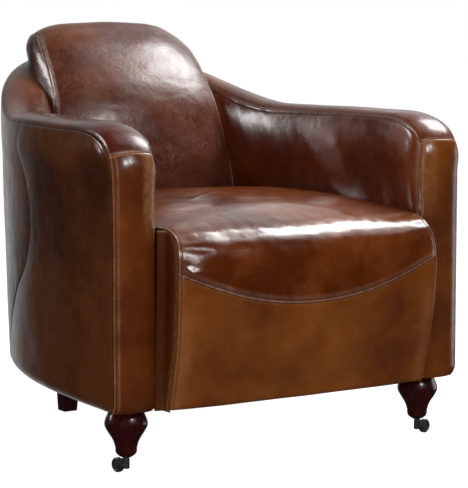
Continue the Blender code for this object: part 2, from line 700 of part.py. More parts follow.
def casters(chair):
    """Sleeve in the foot, swivelling horn with its stem and fork, axle and wheel of each caster."""
    trailing = {"left": math.radians(105), "right": math.radians(12)}
    half = WHEEL_WIDTH / 2
    for label, side in SIDES.items():
        pivot = place(side * FOOT_X, FOOT_Y, 0.0)
        sleeve = [(0.0085, 0.0315), (0.0085, 0.0300), (0.0034, 0.0300), (0.0034, 0.0540), (0.0052, 0.0540),
                  (0.0052, 0.0315)]  # fmt: skip
        turned(f"caster_socket_{label}", sleeve, 16, "caster_steel", pivot, chair)
        swivel = add_empty(f"caster_swivel_{label}", pivot, trailing[label], chair)
        housing = [(0.0, 0.0095), (0.0045, 0.0095), (0.0060, 0.0110), (0.0060, 0.0265), (0.0048, 0.0290),
                   (STEM_RADIUS, 0.0290), (STEM_RADIUS, 0.0520), (0.0, 0.0520)]  # fmt: skip
        horn = turned(f"caster_horn_{label}", housing, 16, "caster_steel", (0, 0, 0), swivel)
        cheeks = ((-half - 0.0022, -half - 0.0006), (half + 0.0006, half + 0.0022))
        for number, cheek in enumerate(cheeks):
            joined(horn, loft(f"cheek_{label}_{number}", fork_outline(cheek), "caster_steel", swivel))
        bridge = loft(f"bridge_{label}", fork_bridge(half + 0.0022), "caster_steel", swivel)
        joined(horn, bridge)
        axle_mark = add_empty(f"caster_axle_line_{label}", (WHEEL_TRAIL, 0, WHEEL_RADIUS), 0.0, swivel)
        on_axle = {"location": (0, 0, 0), "parent": axle_mark}
        hole = turned(f"axle_hole_{label}", rod(0.0018, 0.012), 12, "caster_steel", **on_axle)
        axle = turned(f"caster_axle_{label}", rod(0.0014, half + 0.0030), 12, "caster_steel", **on_axle)
        wheel = turned(f"caster_wheel_{label}", wheel_profile(), 24, "caster_rubber", **on_axle)
        for piece in (hole, axle, wheel):
            piece.rotation_euler = (math.radians(90), 0.0, 0.0)
        bored(horn, hole)


def fork_bridge(half):
    """The block over the wheel that joins the two cheeks to the housing."""
    outline = [(0.001, 0.0180), (0.001, 0.0262), (0.0085, 0.0268), (0.0085, 0.0222), (0.0055, 0.0180)]
    return [[(x, y, z) for x, z in outline] for y in (-half, half)]


def rod(radius, half):
    return [(0.0, -half), (radius, -half), (radius, half), (0.0, half)]


def wheel_profile():
    """A small wheel with rounded shoulders, a sunk face and a bore."""
    half = WHEEL_WIDTH / 2
    true_radius = WHEEL_RADIUS / math.cos(math.pi / 24)  # so that the faceted wheel's flats reach the floor
    shoulder = 0.0016
    return [
        (0.0018, -half), (0.0040, -half), (0.0045, -half + 0.0010), (0.0080, -half + 0.0010),
        (0.0090, -half), (true_radius - shoulder, -half), (true_radius, -half + shoulder),
        (true_radius, half - shoulder),
        (true_radius - shoulder, half), (0.0090, half), (0.0080, half - 0.0010), (0.0045, half - 0.0010),
        (0.0040, half), (0.0018, half),
    ]  # fmt: skip


def main():
    for item in list(bpy.data.objects):
        bpy.data.objects.remove(item, do_unlink=True)
    chair = add_empty("chair", (0, 0, 0))
    wooden_frame(chair)
    springs_and_webs(chair)
    padding(chair)
    wall_covers(chair)
    seat_covers(chair)
    back_covers(chair)
    feet(chair)
    casters(chair)


main()
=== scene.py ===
# %% [markdown]
# # A worn leather club chair
#
# This lesson dresses a packed chair model in its leather. The frame, feet and casters come ready made. What
# we add is what an upholsterer adds: cut panels of waxed hide, pulled over padding, sewn together and then
# sat on for years. Every panel is computed on a fine grid, so that its seams, its puckers and its creases
# are real geometry.

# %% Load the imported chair
import math

import bpy
import numpy as np
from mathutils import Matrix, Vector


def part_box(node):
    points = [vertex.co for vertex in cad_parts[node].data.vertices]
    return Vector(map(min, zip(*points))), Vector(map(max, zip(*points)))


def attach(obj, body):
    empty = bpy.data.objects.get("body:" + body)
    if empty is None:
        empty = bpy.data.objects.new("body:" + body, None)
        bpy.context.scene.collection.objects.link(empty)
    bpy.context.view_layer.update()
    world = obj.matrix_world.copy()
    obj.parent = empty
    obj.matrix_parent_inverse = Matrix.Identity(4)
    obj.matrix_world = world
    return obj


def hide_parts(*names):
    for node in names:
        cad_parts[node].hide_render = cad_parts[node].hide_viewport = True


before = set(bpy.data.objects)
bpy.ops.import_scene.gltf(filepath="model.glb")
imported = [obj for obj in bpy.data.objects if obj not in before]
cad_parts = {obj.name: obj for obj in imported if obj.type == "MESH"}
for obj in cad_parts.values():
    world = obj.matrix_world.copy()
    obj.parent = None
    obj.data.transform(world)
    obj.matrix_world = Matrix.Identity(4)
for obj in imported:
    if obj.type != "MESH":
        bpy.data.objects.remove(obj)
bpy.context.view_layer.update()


# %% [markdown]
# ## The sizes that everything follows
#
# The chair is one thick curved wall that makes both arms and the back, with a seat and an inner back
# sitting in it. So a few numbers place every panel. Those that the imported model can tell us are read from
# it.

# %% Driving dimensions, in metres
HALF_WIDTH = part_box("outside_arm_cover_right")[1].x
CROWN = 0.010  # how far the leather domes between the two seams of an arm's top
ARM_FRONT_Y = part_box("arm_facing_right")[0].y + CROWN
BODY_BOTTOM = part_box("outside_back_cover")[0].z
WALL = 0.085  # thickness of the arms and of the back wall
PLAN_POWER = 2.6  # 2 would make the plan an ellipse: higher is squarer at the rear corners
PLAN_DEPTH_LOW = 0.745  # arm front to the outside back, at the bottom edge
PLAN_DEPTH_HIGH = 0.785  # the same at RAKE_TOP, because the back leans outwards
RAKE_TOP = 0.671
ARM_EDGE = 0.600  # height of the seams along an arm's top
BACK_EDGE = 0.699  # height of the same seams behind the back
SWEEP_START = 0.456  # distance back from the arm's front where its top starts to rise
SWEEP_LENGTH = 0.41
CORNER_RUN = 0.12  # the rounded front top corner, along the arm
CORNER_RISE = 0.072
CORNER_POWER = 1.2  # 1 would make it a quarter of an ellipse: higher is squarer
FACING_SEAM = 0.558  # height of the seam between an arm's front and its top
SEAT_HALF = 0.271
SEAM_MIDDLE = 0.291  # lowest height of the curved seam across the seat's front
SEAM_RISE = 0.0655  # how much higher that seam is at the sides
LEATHER = 0.0018
SIDES = {"left": -1.0, "right": 1.0}
print("arm fronts at y", round(ARM_FRONT_Y, 4), "bottom edge at z", round(BODY_BOTTOM, 4))

# %% [markdown]
# ## A camera first
#
# A camera set early keeps every later choice honest. The chair was seen from the left and a little above
# its arms, through a long lens, so that its upright lines stay nearly parallel.

# %% Camera
VIEW_AZIMUTH = math.radians(32.07)  # turned from +Y towards +X
VIEW_PITCH = math.radians(6.69)  # looking down
camera_data = bpy.data.cameras.new("studio_camera")
camera_data.lens = 152.5
camera_data.sensor_width = 36.0
camera = bpy.data.objects.new("studio_camera", camera_data)
camera.location = (-2.026, ARM_FRONT_Y - 3.034, 0.815)
camera.rotation_euler = (math.radians(90) - VIEW_PITCH, 0.0, -VIEW_AZIMUTH)
bpy.context.collection.objects.link(camera)
bpy.context.scene.camera = camera
print("camera stands", round(math.hypot(camera.location.x, camera.location.y), 2), "m away")

# %% [markdown]
# ## The curved wall, as a function
#
# Seen from above, the outside of the chair is a superellipse: straighter than an ellipse along the arms,
# rounder than a box at the back. A point on it is named by its run, the distance back from the arm's front,
# its height, and its inset from the outside face. All the functions here take whole arrays, because a panel
# has thousands of points.


# %% Plan and wall
def place(x, y, z):
    """From distances behind the arm fronts to the chair's own frame."""
    return np.stack(np.broadcast_arrays(x, ARM_FRONT_Y + y, z), -1)


def smooth_step(value):
    """0 up to 0, 1 from 1 on, and an even S between."""
    value = np.clip(value, 0.0, 1.0)
    return value * value * (3 - 2 * value)


def hump(value, centre, width):
    """A smooth bump of height 1: it has fallen to about a third one width away from its centre."""
    return np.exp(-(((value - centre) / width) ** 2))


def settle(distance, reach):
    """Rises from 0 at an edge to 1 well inside it."""
    return 1 - np.exp(-distance / reach)


def plan_depth(z):
    """How far the outside back is behind the arm fronts at a height."""
    up = (z - BODY_BOTTOM) / (RAKE_TOP - BODY_BOTTOM)
    return PLAN_DEPTH_LOW + (PLAN_DEPTH_HIGH - PLAN_DEPTH_LOW) * up


ANGLES = np.linspace(0, math.pi / 2, 1200)
PLAN_X = HALF_WIDTH * np.clip(np.cos(ANGLES), 0, 1) ** (2 / PLAN_POWER)
PLAN_Y = plan_depth(0.4) * np.sin(ANGLES) ** (2 / PLAN_POWER)
RUNS = np.concatenate([[0.0], np.cumsum(np.hypot(np.diff(PLAN_X), np.diff(PLAN_Y)))])
WALL_LENGTH = float(RUNS[-1])  # from one arm's front to the middle of the back


def wall(run, z, inset, side=1.0):
    """Points in the wall. A run past the middle of the back goes on round to the other arm."""
    sign = side * np.where(run > WALL_LENGTH, -1.0, 1.0)
    angle = np.interp(np.where(run > WALL_LENGTH, 2 * WALL_LENGTH - run, run), RUNS, ANGLES)
    depth = plan_depth(z)
    x = HALF_WIDTH * np.clip(np.cos(angle), 0, 1) ** (2 / PLAN_POWER)
    y = depth * np.sin(angle) ** (2 / PLAN_POWER)
    slope = PLAN_POWER - 1
    out_x = (x / HALF_WIDTH) ** slope / HALF_WIDTH
    out_y = (y / depth) ** slope / depth
    length = np.hypot(out_x, out_y)
    return place(sign * (x - out_x / length * inset), y - out_y / length * inset, z)


def edge_height(run):
    """Height of the seams along the wall's top: a rounded front corner, level, then the sweep up."""
    run = np.minimum(run, 2 * WALL_LENGTH - run)
    cosine = np.clip(1 - run / CORNER_RUN, 0, 1) ** CORNER_POWER
    corner = ARM_EDGE - CORNER_RISE + CORNER_RISE * np.sqrt(1 - cosine**2) ** (1 / CORNER_POWER)
    sweep = ARM_EDGE + (BACK_EDGE - ARM_EDGE) * smooth_step((run - SWEEP_START) / SWEEP_LENGTH)
    return np.where(run < CORNER_RUN, corner, sweep)


def inside_x(y, z):
    """Half the room between the arms, at a distance behind the arm fronts."""
    across = wall(np.linspace(0, WALL_LENGTH, 200), z, WALL)
    return float(np.interp(y, across[:, 1] - ARM_FRONT_Y, across[:, 0]))


print("wall length from arm front to mid back", round(WALL_LENGTH, 3))

# %% [markdown]
# ## Noise and smooth curves
#
# Leather is never quite even. A value noise on a seeded lattice gives the same unevenness on every run. A
# smooth curve through a few points does for leather what a spline batten does for a boat builder.


# %% Noise and curves
LATTICE_SIDE = 32
LATTICE = np.random.default_rng(1927).uniform(-1, 1, (LATTICE_SIDE, LATTICE_SIDE, LATTICE_SIDE))


def noise(points, size, shift=0):
    """Smooth noise from -1 to 1 with features about size metres wide. shift picks another part of it."""
    p = np.asarray(points) / size + 7.31 * shift + 400
    cell = np.floor(p).astype(int)
    f = p - cell
    f = f * f * (3 - 2 * f)
    total = 0.0
    for corner in range(8):
        step = np.array([corner & 1, corner >> 1 & 1, corner >> 2 & 1])
        weight = np.prod(np.where(step, f, 1 - f), axis=-1)
        x, y, z = np.moveaxis((cell + step) % LATTICE_SIDE, -1, 0)
        total = total + weight * LATTICE[x, y, z]
    return total


def through(knots, values, at):
    """A smooth curve through values (k, ...) at increasing knots (k), read at an array of places."""
    knots, values = np.asarray(knots, float), np.asarray(values, float)
    flat = values.reshape(len(knots), -1)
    slopes = np.gradient(flat, knots, axis=0)
    at = np.clip(at, knots[0], knots[-1])
    i = np.clip(np.searchsorted(knots, at, side="right") - 1, 0, len(knots) - 2)
    gap = (knots[i + 1] - knots[i])[..., None]
    t = (at - knots[i])[..., None] / gap
    start, end = flat[i], flat[i + 1]
    curve = (2 * t**3 - 3 * t**2 + 1) * start + (t**3 - 2 * t**2 + t) * gap * slopes[i]
    curve = curve + (3 * t**2 - 2 * t**3) * end + (t**3 - t**2) * gap * slopes[i + 1]
    return curve.reshape(np.shape(at) + values.shape[1:])


print("noise at a point", round(float(noise(np.array([0.1, 0.2, 0.3]), 0.05)), 4))

# %% [markdown]
# ## Cutting a panel
#
# A panel is a grid on a surface. Near a seam the grid's rows are a fraction of a millimetre apart, because
# there the leather turns down in a tight roll. Everywhere else they are a few millimetres apart. Each grid
# point also knows how far it is from each of the panel's four edges, measured along the leather as a
# tailor's tape would.

# %% Grid with its distances to the edges
ROLL = 0.0015  # radius of the turned edge at a seam
STITCH_LINE = 0.0062  # top-stitching runs this far from the seam
STITCH_SINK = 0.0008  # depth of the channel that it pulls
EDGE_ROWS = np.array([0.0, 0.0002, 0.0005, 0.0009, ROLL, 0.0032, STITCH_LINE, 0.0078])
STITCH_ROW = 6


def positions(total, step, seam_start, seam_end):
    """Distances along lines of total length: rows close together at a seam, then evenly spaced."""
    squeeze = np.minimum(1.0, total / (3 * EDGE_ROWS[-1]))
    head = (EDGE_ROWS if seam_start else EDGE_ROWS[:1])[:, None] * squeeze
    tail = (EDGE_ROWS if seam_end else EDGE_ROWS[:1])[:, None] * squeeze
    count = max(2, round(float(np.mean(total)) / step))
    middle = np.linspace(0, 1, count + 1)[1:-1, None]
    between = head[-1] + middle * (total - head[-1] - tail[-1])
    return np.concatenate([head, between, total - tail[::-1]])


def lay_out(surface, step, seams):
    """Grid points on surface(a, b), and how far each one is from the edges a=0, a=1, b=0 and b=1."""
    fine = np.linspace(0, 1, 81)
    coarse = surface(*np.meshgrid(fine, fine, indexing="ij"))
    lengths, places = [], []
    for axis in (0, 1):
        gaps = np.linalg.norm(np.diff(coarse, axis=axis), axis=2)
        gaps = np.moveaxis(gaps, axis, 0)
        along = np.concatenate([np.zeros((1, len(fine))), np.cumsum(gaps, axis=0)])
        wanted = positions(along[-1], step, seams[2 * axis], seams[2 * axis + 1])
        share = np.stack([np.interp(wanted[:, j], along[:, j], fine) for j in range(len(fine))], 1)
        lengths.append((wanted, along[-1]))
        places.append(share)
    nominal = [share.mean(axis=1) for share in places]
    spread = lambda table, other: np.stack([np.interp(other, fine, row) for row in table])
    a = spread(places[0], nominal[1])
    b = spread(places[1], nominal[0]).T
    from_a = spread(lengths[0][0], nominal[1])
    from_b = spread(lengths[1][0], nominal[0]).T
    whole_a = np.interp(nominal[1], fine, lengths[0][1])[None, :]
    whole_b = np.interp(nominal[0], fine, lengths[1][1])[:, None]
    return surface(a, b), [from_a, whole_a - from_a, from_b, whole_b - from_b]


def grid_normals(grid, away_from):
    """Unit normals of a grid, pointing away from a place inside the chair."""
    normal = np.cross(np.gradient(grid, axis=0), np.gradient(grid, axis=1))
    normal /= np.maximum(np.linalg.norm(normal, axis=2, keepdims=True), 1e-12)
    return normal * (1 if np.sum(normal * (grid - away_from)) > 0 else -1)


print("rows of a grid beside a seam:", len(EDGE_ROWS))

# %% [markdown]
# ## Sewing it
#
# At a seam two hides are laid face to face, stitched, and opened out. Each one then rolls down into the
# seam, and a row of top-stitching holds the turned edge flat and pulls a shallow channel beside it. The
# thread's tension puckers the hide in small waves that fade within a couple of centimetres. Away from the
# seams the padding lifts the leather.


# %% Shape of sewn leather
def rolled(distance):
    """How far the turned edge sinks, at a distance from the seam."""
    inside = np.clip(ROLL - distance, 0, ROLL)
    return ROLL - np.sqrt(np.maximum(ROLL**2 - inside**2, 0.0))


def sewn_height(grid, edges, seams, plump, slack, pucker, stitched):
    """Height of the leather above its plain surface."""
    nearest = np.min([d for d, seam in zip(edges, seams) if seam] or [np.ones(grid.shape[:2])], axis=0)
    height = -rolled(nearest)
    fullness = np.ones_like(height)
    for edge, (distance, seam) in enumerate(zip(edges, seams)):
        if not seam:
            continue
        along = edges[2 if edge < 2 else 0]
        if stitched[edge]:
            height -= STITCH_SINK * hump(distance, STITCH_LINE, 0.0012)
        wave = np.stack([along, 0.25 * distance, np.full_like(along, 0.37 * edge)], -1)
        waves = 0.6 * noise(wave, 0.0085, edge) + 0.4 * noise(wave, 0.019, edge + 9)
        height += pucker * waves * np.exp(-distance / 0.014) * smooth_step((distance - 0.002) / 0.006)
        fullness *= settle(distance, 0.020)
    swell = 0.65 * noise(grid, 0.085, 3) + 0.25 * noise(grid, 0.038, 4) + 0.10 * noise(grid, 0.017, 5)
    return height + fullness * (plump + slack * swell)


def crease(grid, path, width, depth):
    """A groove, or with a negative depth a ridge, that follows a path and fades at both ends."""
    path = np.asarray(path, float)
    steps = np.linalg.norm(np.diff(path, axis=0), axis=1)
    before = np.concatenate([[0.0], np.cumsum(steps)])
    nearest = np.full(grid.shape[:2], 1e9)
    where = np.zeros(grid.shape[:2])
    for start, end, step, passed in zip(path[:-1], path[1:], steps, before):
        along = np.clip(((grid - start) @ (end - start)) / step**2, 0, 1)
        gap = np.linalg.norm(grid - (start + along[..., None] * (end - start)), axis=2)
        closer = gap < nearest
        nearest = np.where(closer, gap, nearest)
        where = np.where(closer, (passed + along * step) / before[-1], where)
    return -depth * hump(nearest, 0, width) * np.sin(np.pi * np.clip(where, 0, 1)) ** 0.6


print("a turned edge sinks", 1000 * ROLL, "mm and the stitching pulls", 1000 * STITCH_SINK, "mm")

# %% [markdown]
# ## From grid to mesh
#
# One function turns a finished grid into a mesh object with its thickness. It also stores, point by point,
# how dark the leather is made at its seams and in shaded gaps, by dirt and by painted shade, and how pale
# it is made, by chafing and by painted highlight, sheen and reflection, so that the finish can follow the
# sewing.


# %% Mesh objects
PIECES = []


def add_mesh(name, points, faces, material, slot, body="chair"):
    """A smooth mesh object that rides on a body of the chair."""
    mesh = bpy.data.meshes.new(name)
    mesh.vertices.add(len(points))
    mesh.vertices.foreach_set("co", np.asarray(points, np.float32).ravel())
    sizes = np.array([len(face) for face in faces])
    mesh.loops.add(int(sizes.sum()))
    mesh.loops.foreach_set("vertex_index", np.concatenate(faces).astype(np.int32))
    mesh.polygons.add(len(faces))
    mesh.polygons.foreach_set("loop_start", np.concatenate([[0], np.cumsum(sizes)[:-1]]).astype(np.int32))
    mesh.update(calc_edges=True)
    mesh.validate()
    mesh.shade_smooth()
    mesh.materials.append(material)
    piece = bpy.data.objects.new(name, mesh)
    bpy.context.collection.objects.link(piece)
    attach(piece, body)
    PIECES.append(piece)
    return piece


def store(piece, name, values):
    """Keeps one number for each point, which a material can read."""
    attribute = piece.data.attributes.new(name, "FLOAT", "POINT")
    attribute.data.foreach_set("value", np.asarray(values, np.float32).ravel())


print("hide is", 1000 * LEATHER, "mm thick")


# %% One sewn panel
def panel(name, surface, material, slot, away_from, step=0.0035, seams=(1, 1, 1, 1), stitched=(0, 0, 0, 0),
          rubbed_and_lit=(1, 1, 1, 1), plump=0.0015, slack=0.0012, pucker=0.0007,
          shape=None, tone=None, worn_and_lit=None, painted_shade=None):
    """One sewn panel of leather on surface(a, b), facing away from a place inside the chair.

    seams says how dark each of the edges a=0, a=1, b=0 and b=1 is made, by dirt and by painted shade,
    and 0 is an edge without a seam. stitched marks the edges with top-stitching, and rubbed how pale their
    shoulders are made, by chafing and by painted highlight. shape, tone, worn and soiled are functions of
    the grid that add height, colour, paleness and painted shade: some tones are painted light, and some
    paleness is painted sheen and painted reflection. Returns the piece, its grid and its normals, for the
    thread."""
    plain, edges = lay_out(surface, step, seams)
    normal = grid_normals(plain, np.asarray(away_from, float))
    height = sewn_height(plain, edges, seams, plump, slack, pucker, stitched)
    if shape:
        height = height + shape(plain, edges)
    grid = plain + normal * height[..., None]
    rows, columns = grid.shape[:2]
    index = np.arange(rows * columns).reshape(rows, columns)
    faces = np.stack([index[:-1, :-1], index[1:, :-1], index[1:, 1:], index[:-1, 1:]], -1).reshape(-1, 4)
    i, j = rows // 2, columns // 2
    face_normal = np.cross(plain[i + 1, j] - plain[i, j], plain[i, j + 1] - plain[i, j])
    if np.dot(face_normal, normal[i, j]) < 0:
        faces = faces[:, ::-1]
    piece = add_mesh(name, grid.reshape(-1, 3), list(faces), material, slot)
    # grime darkens each seam and fades within a few millimetres: partly dirt in the seam, partly painted
    # shade.
    grime_and_shade, pale = np.zeros(plain.shape[:2]), np.zeros(plain.shape[:2])
    for distance, seam, stitch, rub_and_highlight in zip(edges, seams, stitched, rubbed_and_lit):
        if seam:
            grime_and_shade += seam * (hump(distance, 0, 0.0008) + 0.15 * np.exp(-distance / 0.006))
            pale += 0.7 * rub_and_highlight * hump(distance, 0.0020, 0.0011)
        if stitch:
            grime_and_shade += 0.30 * hump(distance, STITCH_LINE, 0.0010)
            pale += 0.35 * rub_and_highlight * hump(distance, STITCH_LINE + 0.0035, 0.0018)
    # pale lightens the shoulders beside each seam: partly chafing, partly painted highlight where the rolled
    # edges catch the lamps.
    pale *= 1 + 0.6 * noise(plain, 0.03, 6)
    # The seam mark holds the dirt at the seams, with painted shade beside them and in the gap behind the
    # arms; the other mark holds the paleness, with painted highlights, sheen and reflection.
    store(piece, "seam", np.clip(grime_and_shade + (painted_shade(plain) if painted_shade else 0), 0, 1))
    store(piece, "wear_and_highlight", np.clip(pale + (worn_and_lit(plain) if worn_and_lit else 0), 0, 1))
    store(piece, "tone", tone(plain) if tone else np.zeros(plain.shape[:2]))
    thickness = piece.modifiers.new("hide", "SOLIDIFY")
    thickness.thickness = LEATHER
    thickness.offset = -1.0
    lowest, highest = 1000 * height.min(), 1000 * height.max()
    print(f"{name}: {rows} x {columns} grid, swells {lowest:.1f} to {highest:.1f} mm")
    return {"piece": piece, "grid": grid, "normal": grid_normals(grid, np.asarray(away_from, float))}


# %% [markdown]
# ## Thread
#
# The visible seams are top-stitched with waxed linen thread, about seven stitches to five centimetres. Each
# stitch is a short arched capsule whose ends dive into the leather. The rows are read straight from the
# finished panel grids.

# %% Thread
STITCH_PITCH = 0.0068
STITCH_LENGTH = 0.0050
THREAD_RADIUS = 0.00050
STITCH_SIDES = 6
# A stitch is five rings along its length. Their lift dives below the leather at both ends.
RING_AT = np.array([-0.5, -0.3, 0.0, 0.3, 0.5]) * STITCH_LENGTH
RING_RADIUS = np.array([0.45, 0.95, 1.0, 0.95, 0.45]) * THREAD_RADIUS
RING_LIFT = np.array([-0.9, 0.35, 0.7, 0.35, -0.9]) * THREAD_RADIUS


def stitches(lines):
    """Points and faces of every stitch along lines of (points, normals)."""
    points, faces = [], []
    sides, last = STITCH_SIDES, len(RING_AT) - 1
    angles = 2 * np.pi * np.arange(sides) / sides
    for line, normals in lines:
        gaps = np.linalg.norm(np.diff(line, axis=0), axis=1)
        along = np.concatenate([[0.0], np.cumsum(gaps)])
        centres = np.arange(STITCH_PITCH, along[-1] - STITCH_PITCH / 2, STITCH_PITCH)
        read = lambda values, s: np.stack([np.interp(s, along, values[:, k]) for k in range(3)], -1)
        for s in centres:
            middle, up = read(line, s), read(normals, s)
            ahead = read(line, s + 0.002) - read(line, s - 0.002)
            ahead /= np.linalg.norm(ahead)
            up = up / np.linalg.norm(up)
            across = np.cross(ahead, up)
            rim_of_ring = np.cos(angles)[:, None] * across + np.sin(angles)[:, None] * up
            base = len(points) * sides
            for at, radius, lift in zip(RING_AT, RING_RADIUS, RING_LIFT):
                centre = middle + ahead * at + up * lift
                points.append(centre + radius * rim_of_ring)
            for ring in range(last):
                for k in range(sides):
                    j = (k + 1) % sides
                    low, high = base + ring * sides, base + (ring + 1) * sides
                    faces.append([low + k, low + j, high + j, high + k])
            faces.append([base + k for k in reversed(range(sides))])
            faces.append([base + last * sides + k for k in range(sides)])
    return np.concatenate(points), faces


def sew(name, lines, material, slot):
    """All the stitches along some lines, as one object."""
    points, faces = stitches(lines)
    print(f"{name}: {len(points) // (STITCH_SIDES * len(RING_AT))} stitches")
    return add_mesh(name, points, faces, material, slot)


def row_of(made, edge, row=STITCH_ROW, trim=4):
    """One grid row beside an edge of a panel: its points and normals. edge is a0, a1, b0 or b1."""
    back_row = -1 - row
    rows = {"a0": np.s_[row, :], "a1": np.s_[back_row, :], "b0": np.s_[:, row], "b1": np.s_[:, back_row]}
    pick = rows[edge]
    return made["grid"][pick][trim:-trim], made["normal"][pick][trim:-trim]


print("stitches in 5 cm:", round(0.05 / STITCH_PITCH))

# %% [markdown]
# ## The finish: waxed, pulled-up, scuffed hide, with painted shade and highlights
#
# Aged club leather is vegetable-tanned cowhide, stained, waxed and polished. Where it is chafed or
# stretched the wax moves and the tan shows through. Where nobody touches it, it stays dark. Old wax leaves
# a glossy film with a fine net of pale cracks. So the finish mixes a dark, a middle and a warm colour in
# clouds, adds cracks, scratches and pores as both colour and relief, darkens the seams with dirt and painted
# shade, and makes the shoulders beside them lighter, partly as chafing and partly as painted highlights. The
# same marks carry painted shade in dark gaps and painted sheen and reflection elsewhere.

# %% Colours and nodes
def linear(hex_colour):
    """sRGB hex to linear RGBA."""
    values = [int(hex_colour[i : i + 2], 16) / 255 for i in (1, 3, 5)]
    return [v / 12.92 if v <= 0.04045 else ((v + 0.055) / 1.055) ** 2.4 for v in values] + [1.0]


def node(tree, kind, links=None, stops=(), **settings):
    """Adds a shader node and gives back its outputs. links gives its inputs a value or another node's output,
    stops are a colour ramp's (position, grey or colour), and settings are the node's own properties."""
    made = tree.nodes.new("ShaderNode" + kind)
    for name, value in settings.items():
        setattr(made, name, value)
    for socket, value in (links or {}).items():
        if isinstance(value, bpy.types.NodeSocket):
            tree.links.new(value, made.inputs[socket])
        else:
            made.inputs[socket].default_value = value
    for number, (position, colour) in enumerate(stops):
        elements = made.color_ramp.elements
        element = elements[number] if number < 2 else elements.new(position)
        element.position = position
        element.color = colour if isinstance(colour, list) else [colour, colour, colour, 1.0]
    return made.outputs


def new_material(name, fixed):
    """A material with a bare Principled shader: returns it, its tree, its shader and object coordinates.
    fixed holds the values that are the same all over, which are set on the shader's own sockets."""
    material = bpy.data.materials.new(name)
    material.use_nodes = True
    tree = material.node_tree
    shader = tree.nodes["Principled BSDF"]
    for socket, value in fixed.items():
        shader.inputs[socket].default_value = value
    return material, tree, shader, node(tree, "TexCoord")["Object"]


def per_metre(millimetres):
    """Texture scale for features of a size in millimetres."""
    return 1000.0 / millimetres


print("pale tan in linear colour:", [round(value, 3) for value in linear("#A06A42")[:3]])

# %% Leather
# Each layer of crazing: its size in mm, its slant, how many times longer than wide it is, a line's half
# width, and its strength.
CRAZING = (
    (13, (0.0, 0.0, 0.0), 1.0, 0.030, 0.35),
    (8, (-0.6, 0.8, 0.0), 11.0, 0.026, 1.0),
    (9, (-0.6, -0.7, 0.0), 9.0, 0.022, 0.8),
)
WRINKLE_RELIEF, PORE_RELIEF, CRAZING_RELIEF = 0.40, 0.012, -0.04  # heights in mm


